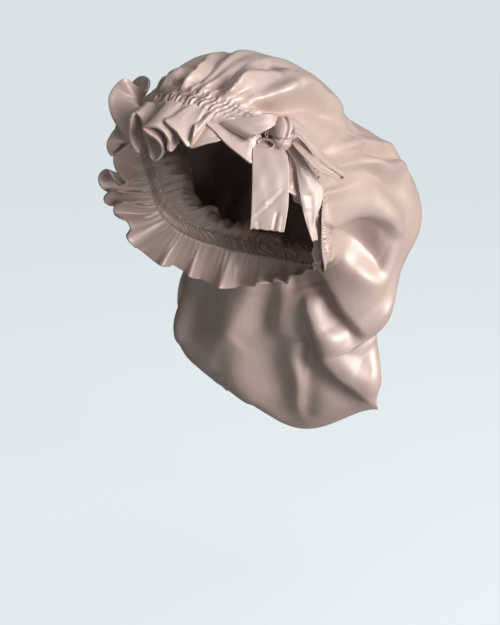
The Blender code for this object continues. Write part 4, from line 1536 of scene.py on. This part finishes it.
    def nape_hem(self) -> tuple[Array, Array]:
        """The hem's places round the ears and the nape: waves with four places in each.

        The places stand out by wave cos(2 pi phase) and lean along the seam by
        overlap sin(4 pi phase), so that a fold rolls over its neighbour like an S.

        Returns:
            Degrees, and points in millimetres.
        """
        table = columns(self.nape)
        first, last = table["degrees"][0], table["degrees"][-1]
        quarters = int((last - first) / self.fold_pitch) * 4
        phase = np.arange(quarters + 1) / 4
        degrees = first + (last - first) * phase / phase[-1]
        degrees += self.stray[0] * np.sin(self.stray[1] * phase)
        part = {name: smooth(degrees, table["degrees"], table[name]) for name in table}
        frame = self.seam(degrees)
        pitch = np.radians(part["pitch"])[:, None]
        lean = np.cos(pitch) * frame.face + np.sin(pitch) * frame.out
        side = np.cos(pitch) * frame.out - np.sin(pitch) * frame.face
        uneven = 1 + self.uneven[0] * np.sin(self.uneven[1] * phase)
        swing = part["wave"] * uneven * np.cos(2 * np.pi * phase)
        shift = part["overlap"] * np.sin(4 * np.pi * phase + 0.6)
        return degrees, (
            frame.point
            + (part["length"] * uneven**0.4)[:, None] * lean
            + swing[:, None] * side
            + shift[:, None] * frame.along
        )

    def surface(self) -> Array:
        """The ruffle's middle layer, from the seam to the hem.

        The hem is a closed smooth curve through its places. From each seam point a
        cubic Bezier curve runs to the hem: it leaves along a mix of the outward way,
        the casing's own way and the straight way, and arrives along the straight way.
        Fine pleats of the casing's ridges fade over the first third.

        Returns:
            Points in millimetres.
        """
        seen, near = self.seen_hem(), self.nape_hem()
        degrees = np.concatenate([seen[0], near[0]])
        places = np.concatenate([seen[1], near[1]])
        count = len(degrees)
        t = np.arange(count * self.steps) / (count * self.steps)
        known = np.arange(count) / count
        drift = degrees - 360.0 * known
        at = 360.0 * t + round_smooth(t, known, drift)
        hem = np.stack([round_smooth(t, known, places[:, axis]) for axis in range(3)], axis=-1)
        frame = self.seam(at)
        span = hem - frame.point
        length = np.linalg.norm(span, axis=-1, keepdims=True)
        angle = (at + 180.0) % 360.0 - 180.0
        seen_part, temple = (
            bump(angle, window, power=4)[:, None] for window in (self.seen_window, self.temple_window)
        )
        leave = seen_part * np.array(self.leave_seen) + (1 - seen_part) * np.array(self.leave_nape)
        leave = leave + temple * (np.array(self.leave_temple) - leave)
        out, face, straight = (leave[:, axis : axis + 1] for axis in range(3))
        start = unit(out * frame.out + face * frame.face + straight * span / length)
        q = np.linspace(0.0, 1.0, self.rows)[None, :, None]
        first = (frame.point + self.leave_reach * length * start)[:, None, :]
        second = (hem - self.arrive_reach * span)[:, None, :]
        grid = (
            (1 - q) ** 3 * frame.point[:, None, :]
            + 3 * q * (1 - q) ** 2 * first
            + 3 * q**2 * (1 - q) * second
            + q**3 * hem[:, None, :]
        )
        level = np.zeros((1, self.rows))
        pleat = self.ruching.ridge(at[:, None] / 360.0, level, self.ruching.puckers) - 0.5
        fade = q[..., 0] * np.exp(-q[..., 0] / self.pleat_fade) / 0.0589
        return grid + grid_normals(grid, closed=True) * (self.pleat_height * pleat * fade)[..., None]

    def doubled(self, middle: Array) -> Array:
        """Wraps the middle layer in two leaves that part into two lips at the hem.

        The leaves lie half a wall to each side, and the wall swells to the rim's over
        the last sixth. The hem's profile is two half circles with a groove between.

        Args:
            middle: The middle layer, in millimetres.

        Returns:
            A grid whose second axis runs down one leaf, round the hem and up the other.
        """
        normals = grid_normals(middle, closed=True)
        q = np.linspace(0.0, 1.0, self.rows)
        half = (self.wall + (self.rim - self.wall) * rise(q, self.rim_window)) / 2
        leaf = half[None, :, None] * normals
        past = unit(middle[:, -1] - middle[:, -2])[:, None, :]
        aside = np.array([0.93, 0.74, 0.50, 0.27, 0.10, -0.10, -0.27, -0.50, -0.74, -0.93])
        beyond = np.array([0.22, 0.42, 0.48, 0.38, 0.02, 0.02, 0.38, 0.48, 0.42, 0.22])
        lips = (
            middle[:, -1:, :]
            + self.rim / 2 * aside[None, :, None] * normals[:, -1:, :]
            + self.rim / 2 * beyond[None, :, None] * past
        )
        return np.concatenate([middle + leaf, lips, (middle - leaf)[:, ::-1]], axis=1)

    def build(self, material: bpy.types.Material) -> None:
        """Makes the piece and dresses it.

        Args:
            material: Its satin.
        """
        grid = self.doubled(self.surface()) * MM
        piece = mesh_object("satin_ruffle", Patch(grid, closed=True, looped=True))
        dress(piece, material, "frill_satin", "frill")


# ---- Ribbons ------------------------------------------------------------------------
class RibbonRow(NamedTuple):
    """A place along a ribbon, with its first and second edge as Sight lays them out."""

    station: float
    first_across: float
    first_up: float
    first_near: float
    second_across: float
    second_up: float
    second_near: float


class Crease(NamedTuple):
    """A straight crease of a ribbon, from one (station, share) place to another."""

    station_a: float
    share_a: float
    station_b: float
    share_b: float
    height: float
    width: float


@dataclass
class Ribbon:
    """A stretch of ribbon ruled between two edges, with soft bends and pressed creases.

    Attributes:
        node: The construction node that it stands for.
        edges: The places of its two edges along it.
        bend: How far it bulges between its edges, in millimetres.
        ripple: How far it ripples, in millimetres.
        ragged: How uneven its end is, in millimetres.
        end_start: The station where the end's unevenness starts.
        least_width: The least flat width, in metres. It is not used.
    """

    sight: Sight
    name: str
    node: str
    edges: tuple[RibbonRow, ...]
    creases: tuple[Crease, ...] = ()
    bend: float = 1.0
    ripple: float = 0.4
    ragged: float = 0.0
    held: Held = Held.HUNG
    seed: int = 1
    rows: int = 120
    places: int = 44
    wall: float = 0.5
    end_start: float = 0.88
    least_width: float = 0.012

    def surface(self) -> Array:
        """The ribbon: straight between its edges, pushed by a bend, ripples and creases.

        The bend is sin(pi share) across the ribbon, fading at both ends. A crease is
        exp(-d^2 / 2w^2) of the distance d to its line, in millimetres. A ragged end
        is drawn back by noise along its width.

        Returns:
            Points in millimetres, first axis along the ribbon.
        """
        table = columns(self.edges)
        t = np.linspace(0.0, 1.0, self.rows)
        axes = ("across", "up", "near")
        first, second = (
            self.sight.place(*(smooth(t, table["station"], table[f"{edge}_{axis}"]) for axis in axes))
            for edge in ("first", "second")
        )
        share = np.linspace(0.0, 1.0, self.places)
        grid = first[:, None, :] * (1 - share)[None, :, None] + second[:, None, :] * share[None, :, None]
        along = np.linalg.norm(np.diff(grid.mean(axis=1), axis=0), axis=-1).sum()
        width = np.linalg.norm(first - second, axis=-1).mean()
        push = self.bend * np.sin(np.pi * share)[None, :] * np.sin(np.pi * t)[:, None] ** 0.5
        push = push + self.ripple * wander(share[None, :] * 0.5, t[:, None], self.seed, waves=4, rows=3.5)
        for crease in self.creases:
            length = (crease.station_b - crease.station_a) * along
            way = np.array([length, (crease.share_b - crease.share_a) * width])
            x = (t[:, None] - crease.station_a) * along
            y = (share[None, :] - crease.share_a) * width
            part = np.clip((x * way[0] + y * way[1]) / (way @ way), 0.0, 1.0)
            gap = np.hypot(x - part * way[0], y - part * way[1])
            push = push + crease.height * np.exp(-0.5 * (gap / crease.width) ** 2)
        grid = grid + grid_normals(grid, closed=False) * push[..., None]
        end = unit(grid[-1] - grid[-3])
        torn = self.ragged * wander(share * 0.9, np.zeros(1), self.seed + 9, waves=9, rows=1.0)
        late = ease((t - self.end_start) / (1 - self.end_start))
        return grid + (late[:, None] * torn[None, :])[..., None] * end[None, :, :]

    def build(self, material: bpy.types.Material) -> None:
        """Makes the piece and dresses it.

        Args:
            material: Its satin.
        """
        grid = self.surface() * MM
        piece = mesh_object(self.name, slab(grid, self.wall * MM))
        dress(piece, material, "ribbon_satin", self.node)


class Curl(NamedTuple):
    """A curl of ribbon: its mouth's middle, radii, depth, turns and starting angle."""

    across: float
    up: float
    near: float
    wide: float
    tall: float
    depth: float
    turns: float
    start: float


@dataclass
class RibbonKnot:
    """The wrapped knot of the bow, with curls of ribbon beside it.

    Attributes:
        centre: Its middle, in millimetres across, up and near.
        half_sizes: Its half width, height and depth, in millimetres.
        lean_degrees: How far it leans, to the right of the view when negative.
        groove: Half the width of its grooves, as a share of its size.
        sag_depth: Depth of the groove below its middle.
        arc_depth: Depth of the groove on its right side.
        overlap: How far the wrap outside that groove stands out.
        curl_wall: The ribbon's thickness in millimetres.
    """

    sight: Sight
    centre: Triple = (34.6, 43.4, 96.5)
    half_sizes: Triple = (9.4, 13.4, 11.5)
    lean_degrees: float = -9.0
    groove: float = 0.09
    sag_depth: float = 0.20
    arc_depth: float = 0.17
    wrap_depth: float = 0.008
    overlap: float = 0.05
    curl_wall: float = 0.5
    curls: tuple[Curl, ...] = rows_of(
        Curl,
        (20.0, 42.0, 101.0, 3.6, 2.9, 7.0, 1.2, 0.6), (25.3, 42.8, 102.0, 3.2, 4.2, 6.0, 1.1, 2.4),
        (20.8, 35.8, 103.5, 7.6, 3.6, 5.0, 1.0, 3.3),
    )

    def ball(self) -> Array:
        """The knot: an egg in the view's own ways, cut by grooves between its wraps.

        One groove sags below the middle like y = -0.28 - 0.22 (1 - x^2), and another
        follows a circle on the right side. Fine wraps run beside the second.

        Returns:
            Points in millimetres.
        """
        around, over = np.meshgrid(np.arange(128) / 128, np.linspace(0.0, 1.0, 80), indexing="ij")
        angle, tilt = 2 * np.pi * around, np.pi * over
        x, y, z = np.sin(tilt) * np.cos(angle), np.cos(tilt), np.sin(tilt) * np.sin(angle)
        front = rise(z, (-0.3, 0.5))
        sag = bump(y + 0.28 + 0.22 * (1 - x * x), (0.0, self.groove))
        circle = np.hypot(x + 0.55, y - 0.15) - 0.98
        arc = bump(circle, (0.0, self.groove)) * rise(y, (-0.5, 0.3))
        wraps = np.sin(22 * circle + 3 * y) * bump(circle, (0.0, 0.5))
        cut = self.sag_depth * sag + self.arc_depth * arc - self.wrap_depth * wraps
        size = 1 - front * cut + self.overlap * ease(circle / 0.25) * front
        lean = math.radians(self.lean_degrees)
        wide, tall, deep = self.half_sizes
        right, above, ahead = self.sight.ways()
        across, up = x * size * wide, y * size * tall
        middle = self.sight.place(*(np.array([part]) for part in self.centre))[0]
        return (
            middle
            + (across * math.cos(lean) - up * math.sin(lean))[..., None] * right
            + (across * math.sin(lean) + up * math.cos(lean))[..., None] * above
            - (z * size * deep)[..., None] * ahead
        )

    def curl(self, curl: Curl) -> Array:
        """A curl: a strip rolled into an uneven spiral, seen nearly end on.

        The radii shrink with the angle, and the strip runs towards the eye.

        Args:
            curl: Its place and sizes.

        Returns:
            Points in millimetres, first axis along the spiral.
        """
        t = np.linspace(0.0, 1.0, 60)
        angle = curl.start + 2 * np.pi * curl.turns * t
        shrink = (1.1 - 0.45 * t) * (1 + 0.12 * np.sin(2 * angle + curl.start))
        right, above, ahead = self.sight.ways()
        middle = self.sight.place(*(np.array([part]) for part in (curl.across, curl.up, curl.near)))[0]
        spiral = (curl.wide * shrink * np.cos(angle))[:, None] * right
        spiral = spiral + (curl.tall * shrink * np.sin(angle))[:, None] * above
        reach = np.linspace(-1.0, 0.0, 12) * curl.depth
        way = unit(-ahead + 0.22 * above - 0.25 * right)
        return middle + spiral[:, None, :] + reach[None, :, None] * way

    def build(self, material: bpy.types.Material) -> None:
        """Makes the piece and dresses it.

        Args:
            material: Its satin.
        """
        curls = [slab(self.curl(curl) * MM, self.curl_wall * MM) for curl in self.curls]
        piece = mesh_object("bow_knot", Patch(self.ball() * MM, closed=True), *curls)
        dress(piece, material, "ribbon_satin", "ribbon_knot")


# ---- Studio -------------------------------------------------------------------------
class Lamp(NamedTuple):
    """A square soft light: its name, place and side in metres, and power in watts."""

    name: str
    place: Triple
    side: float
    power: float


@dataclass(frozen=True)
class Studio:
    """The camera, lights, floor and background. Lengths are in metres, angles in degrees.

    Attributes:
        lens: Its focal length in millimetres, for a sensor 36 mm wide.
        floor_light: How far the floor gives light of its own.
        floor_glow: How much more of it the camera sees.
        room_light: The room's strength away from the window and towards it.
    """

    camera_place: Triple = (0.4384, -0.8988, 0.10)
    camera_yaw: float = 25.4877
    camera_pitch: float = 11.5367
    lens: float = 70.85
    lamps: tuple[Lamp, ...] = rows_of(
        Lamp,
        ("key", (1.85, -0.46, 0.34), 1.15, 48.0), ("low", (1.35, -0.45, -0.50), 1.2, 8.0),
        ("top", (0.5, 0.6, 1.7), 1.0, 7.0),
    )
    lamp_colour: Triple = (1.0, 0.99, 0.98)
    lamp_aim: Triple = (0.02, 0.05, -0.05)
    floor_height: float = -0.36
    floor_radius: float = 60.0
    floor_paint: Colour = (0.20, 0.21, 0.22, 1.0)
    floor_light: float = 0.12
    floor_glow: float = 0.82
    window_way: Triple = (0.72, -0.30, 0.62)
    room_light: Pair = (0.07, 0.30)
    room_colour: Colour = (0.98, 0.98, 1.0, 1.0)
    paper: Colour = (0.70, 0.76, 0.775, 1.0)

    def camera(self) -> None:
        """Sets the camera at the photograph's viewing angle."""
        data = bpy.data.cameras.new("view")
        data.lens = self.lens
        data.sensor_width = 36.0
        data.clip_start = 0.01
        camera = bpy.data.objects.new("view", data)
        camera.location = self.camera_place
        camera.rotation_euler = (math.radians(90 - self.camera_pitch), 0.0, math.radians(self.camera_yaw))
        bpy.context.scene.collection.objects.link(camera)
        bpy.context.scene.camera = camera

    def light(self, lamp: Lamp) -> None:
        """Adds a soft light that faces the object.

        Args:
            lamp: The light.
        """
        data = bpy.data.lights.new(lamp.name, "AREA")
        data.size = lamp.side
        data.energy = lamp.power
        data.color = self.lamp_colour
        light = bpy.data.objects.new(lamp.name, data)
        light.location = lamp.place
        way = np.array(self.lamp_aim) - np.array(lamp.place)
        flat = math.hypot(way[0], way[1])
        light.rotation_euler = (math.atan2(flat, -way[2]), 0.0, math.atan2(way[1], way[0]) - math.pi / 2)
        bpy.context.scene.collection.objects.link(light)

    def floor(self) -> None:
        """Lays a wide pale disc, whose rings are closer together in the middle."""
        rings = np.linspace(0.0, 1.0, 24) ** 3 * self.floor_radius
        turns, reach = np.meshgrid(np.arange(48) / 48, rings, indexing="ij")
        angle = 2 * np.pi * turns
        level = np.full(reach.shape, self.floor_height)
        grid = np.stack([reach * np.cos(angle), reach * np.sin(angle), level], axis=-1)
        disc = mesh_object("pale_floor", Patch(grid, closed=True))
        material = bpy.data.materials.new("pale_paint")
        material.use_nodes = True
        tree = material.node_tree
        shader = tree.nodes["Principled BSDF"]
        shader.inputs["Base Color"].default_value = self.floor_paint
        shader.inputs["Roughness"].default_value = 0.9
        shader.inputs["Specular IOR Level"].default_value = 0.0
        shader.inputs["Emission Color"].default_value = self.paper
        path = tree.nodes.new("ShaderNodeLightPath")
        seen = math_node(tree, "MULTIPLY", path.outputs["Is Camera Ray"], self.floor_glow)
        strength = math_node(tree, "ADD", seen, self.floor_light)
        tree.links.new(strength, shader.inputs["Emission Strength"])
        disc.data.materials.append(material)

    def room(self) -> None:
        """Lights the room from the window's side: strength grows with the way's dot product.

        The camera sees a plain pale colour instead.
        """
        world = bpy.data.worlds.new("room")
        world.use_nodes = True
        tree = world.node_tree
        lit = tree.nodes["Background"]
        where = tree.nodes.new("ShaderNodeTexCoord")
        dot = tree.nodes.new("ShaderNodeVectorMath")
        dot.operation = "DOT_PRODUCT"
        dot.inputs[1].default_value = self.window_way
        tree.links.new(where.outputs["Generated"], dot.inputs[0])
        scale = tree.nodes.new("ShaderNodeMapRange")
        limits = ("From Min", "From Max", "To Min", "To Max")
        for socket, value in zip(limits, (-0.5, 1.0, *self.room_light)):
            scale.inputs[socket].default_value = value
        wire(tree, (dot, "Value", scale, "Value"), (scale, "Result", lit, "Strength"))
        lit.inputs["Color"].default_value = self.room_colour
        plain = tree.nodes.new("ShaderNodeBackground")
        plain.inputs["Color"].default_value = self.paper
        path = tree.nodes.new("ShaderNodeLightPath")
        mix = tree.nodes.new("ShaderNodeMixShader")
        wire(
            tree,
            (path, "Is Camera Ray", mix, "Fac"),
            (lit, "Background", mix, 1),
            (plain, "Background", mix, 2),
            (mix, "Shader", tree.nodes["World Output"], "Surface"),
        )
        bpy.context.scene.world = world

    def build(self) -> None:
        """Makes the whole studio."""
        self.camera()
        self.floor()
        for lamp in self.lamps:
            self.light(lamp)
        self.room()
        bpy.context.scene.view_settings.view_transform = "Standard"


# ---- The bonnet ---------------------------------------------------------------------
def ribbons(sight: Sight) -> list[Ribbon]:
    """The two tails and the two loops of the bow.

    Args:
        sight: The view in which their edges are laid out.

    Returns:
        The four ribbons.
    """
    tail_front = rows_of(
        RibbonRow,
        (0.0, 18.7, 33.3, 91.0, 33.3, 32.5, 91.0), (0.05, 14.2, 37.0, 98.0, 33.3, 32.5, 97.0),
        (0.12, 11.4, 34.1, 103.0, 37.8, 28.5, 101.0), (0.25, 10.9, 22.0, 105.0, 40.0, 21.1, 103.0),
        (0.5, 10.6, 1.6, 105.5, 40.3, 3.3, 103.0), (0.75, 10.1, -17.9, 105.0, 40.0, -15.4, 103.0),
        (1.0, 8.9, -33.7, 103.5, 36.6, -36.6, 103.0),
    )
    tail_back = rows_of(
        RibbonRow,
        (0.0, 36.6, 32.5, 90.0, 41.5, 39.0, 91.0), (0.08, 39.8, 28.5, 89.0, 48.0, 30.1, 88.0),
        (0.2, 45.1, 19.5, 86.0, 56.1, 17.5, 82.0), (0.35, 47.6, 7.3, 82.0, 63.8, 6.9, 76.0),
        (0.48, 49.2, -4.9, 79.0, 68.3, -3.3, 72.0), (0.62, 51.2, -16.3, 77.0, 66.3, -15.4, 72.0),
        (0.78, 54.1, -27.6, 75.0, 61.8, -27.2, 72.0), (0.9, 56.9, -36.6, 75.0, 63.4, -36.2, 71.0),
        (1.0, 59.3, -43.9, 74.0, 63.8, -43.1, 71.0),
    )
    loop_front = rows_of(
        RibbonRow,
        (0.0, 32.1, 56.1, 99.0, 33.0, 52.0, 99.0), (0.1, 27.0, 59.0, 106.0, 29.6, 50.4, 105.0),
        (0.2, 19.5, 58.7, 109.0, 25.0, 47.5, 109.0), (0.34, 2.4, 55.6, 110.5, 16.3, 43.8, 112.0),
        (0.48, -15.1, 52.4, 108.5, 8.5, 40.3, 112.0), (0.5, -16.3, 51.5, 107.2, 8.0, 38.8, 110.6),
        (0.52, -15.1, 50.7, 106.0, 8.5, 38.4, 109.2), (0.66, 1.6, 53.3, 105.5, 15.4, 43.0, 107.5),
        (0.86, 22.0, 56.9, 103.0, 26.0, 49.4, 103.0), (1.0, 32.1, 55.3, 96.0, 33.0, 51.2, 96.0),
    )
    loop_back = rows_of(
        RibbonRow,
        (0.0, 40.7, 36.6, 97.0, 35.8, 48.0, 97.0), (0.03, 42.3, 41.5, 104.0, 39.4, 53.3, 98.0),
        (0.07, 45.4, 44.7, 106.0, 45.4, 54.6, 96.0), (0.12, 48.8, 43.1, 102.0, 51.6, 50.0, 91.0),
        (0.22, 54.9, 35.8, 96.0, 58.9, 40.7, 86.0), (0.32, 64.2, 24.8, 91.0, 67.5, 28.5, 81.0),
        (0.42, 75.6, 15.2, 86.0, 78.5, 18.9, 76.0), (0.49, 84.4, 9.3, 82.0, 85.8, 12.2, 74.0),
        (0.51, 85.3, 7.6, 81.0, 86.7, 9.8, 73.0), (0.53, 83.6, 6.2, 83.0, 85.4, 8.5, 76.0),
        (0.62, 72.4, 9.9, 90.0, 76.0, 13.8, 83.0), (0.72, 61.8, 15.9, 96.0, 66.3, 19.9, 87.0),
        (0.8, 54.7, 23.1, 99.0, 61.4, 24.4, 89.0), (0.88, 49.4, 28.0, 98.0, 56.9, 30.5, 87.0),
        (0.95, 45.5, 32.5, 96.0, 51.2, 37.4, 87.0), (1.0, 43.1, 35.8, 93.0, 47.2, 40.7, 86.0),
    )
    worn = rows_of(
        Crease,
        (0.57, 0.74, 0.7, 0.36, 0.24, 1.0), (0.7, 0.36, 0.83, 0.05, 0.28, 1.0),
        (0.6, 0.82, 0.74, 0.46, -0.26, 1.0), (0.74, 0.46, 0.87, 0.1, -0.22, 1.0),
        (0.82, 0.72, 1.0, 0.68, -0.6, 0.9), (0.86, 0.8, 1.0, 0.82, 0.45, 1.1),
        (0.92, 0.22, 1.0, 0.26, -0.35, 1.0),
    )
    twisted = rows_of(
        Crease,
        (0.34, 0.42, 0.62, 0.34, 1.0, 2.6), (0.52, 0.36, 0.8, 0.6, -1.0, 2.0),
    )
    return [
        Ribbon(sight, "front_tail", "ribbon_tail_front", tail_front, worn, 0.35, 0.22, 0.5, seed=3),
        Ribbon(sight, "back_tail", "ribbon_tail_back", tail_back, twisted, 1.2, 0.35, 0.5, seed=4),
        Ribbon(sight, "front_loop", "bow_loop_front", loop_front, (), 0.3, 0.08, 0.0, Held.FOLDED, 5, 200),
        Ribbon(sight, "back_loop", "bow_loop_back", loop_back, (), 0.5, 0.2, 0.0, Held.FOLDED, 6, 240),
    ]


def main() -> None:
    """Loads the frame, builds each piece in order and reports it."""
    logging.basicConfig(level=logging.INFO, format="%(name)s: %(message)s")
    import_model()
    Studio().build()
    groups = SatinGroups()
    satin = Satin("rose_satin").material(groups)
    # The bow's satin is a slightly darker copy of the crown's satin: painted shade, standing in for the
    # shade that falls on the bow's loops, knot and tails.
    ribbon_satin = Satin(
        "ribbon_satin", (0.53, 0.405, 0.352, 1.0), (0.46, 0.338, 0.288, 1.0), 0.50, 0.06
    ).material(groups)
    band = HeadBand()
    ruching = Ruching()
    CrownBag(band, ruching, ClothRelaxer()).build(satin)
    GatheredCasing(band, ruching).build(satin)
    sight = Sight()
    Frill(band, ruching, sight).build(satin)
    for ribbon in ribbons(sight):
        ribbon.build(ribbon_satin)
    RibbonKnot(sight).build(ribbon_satin)


if __name__ == "__main__":
    main()
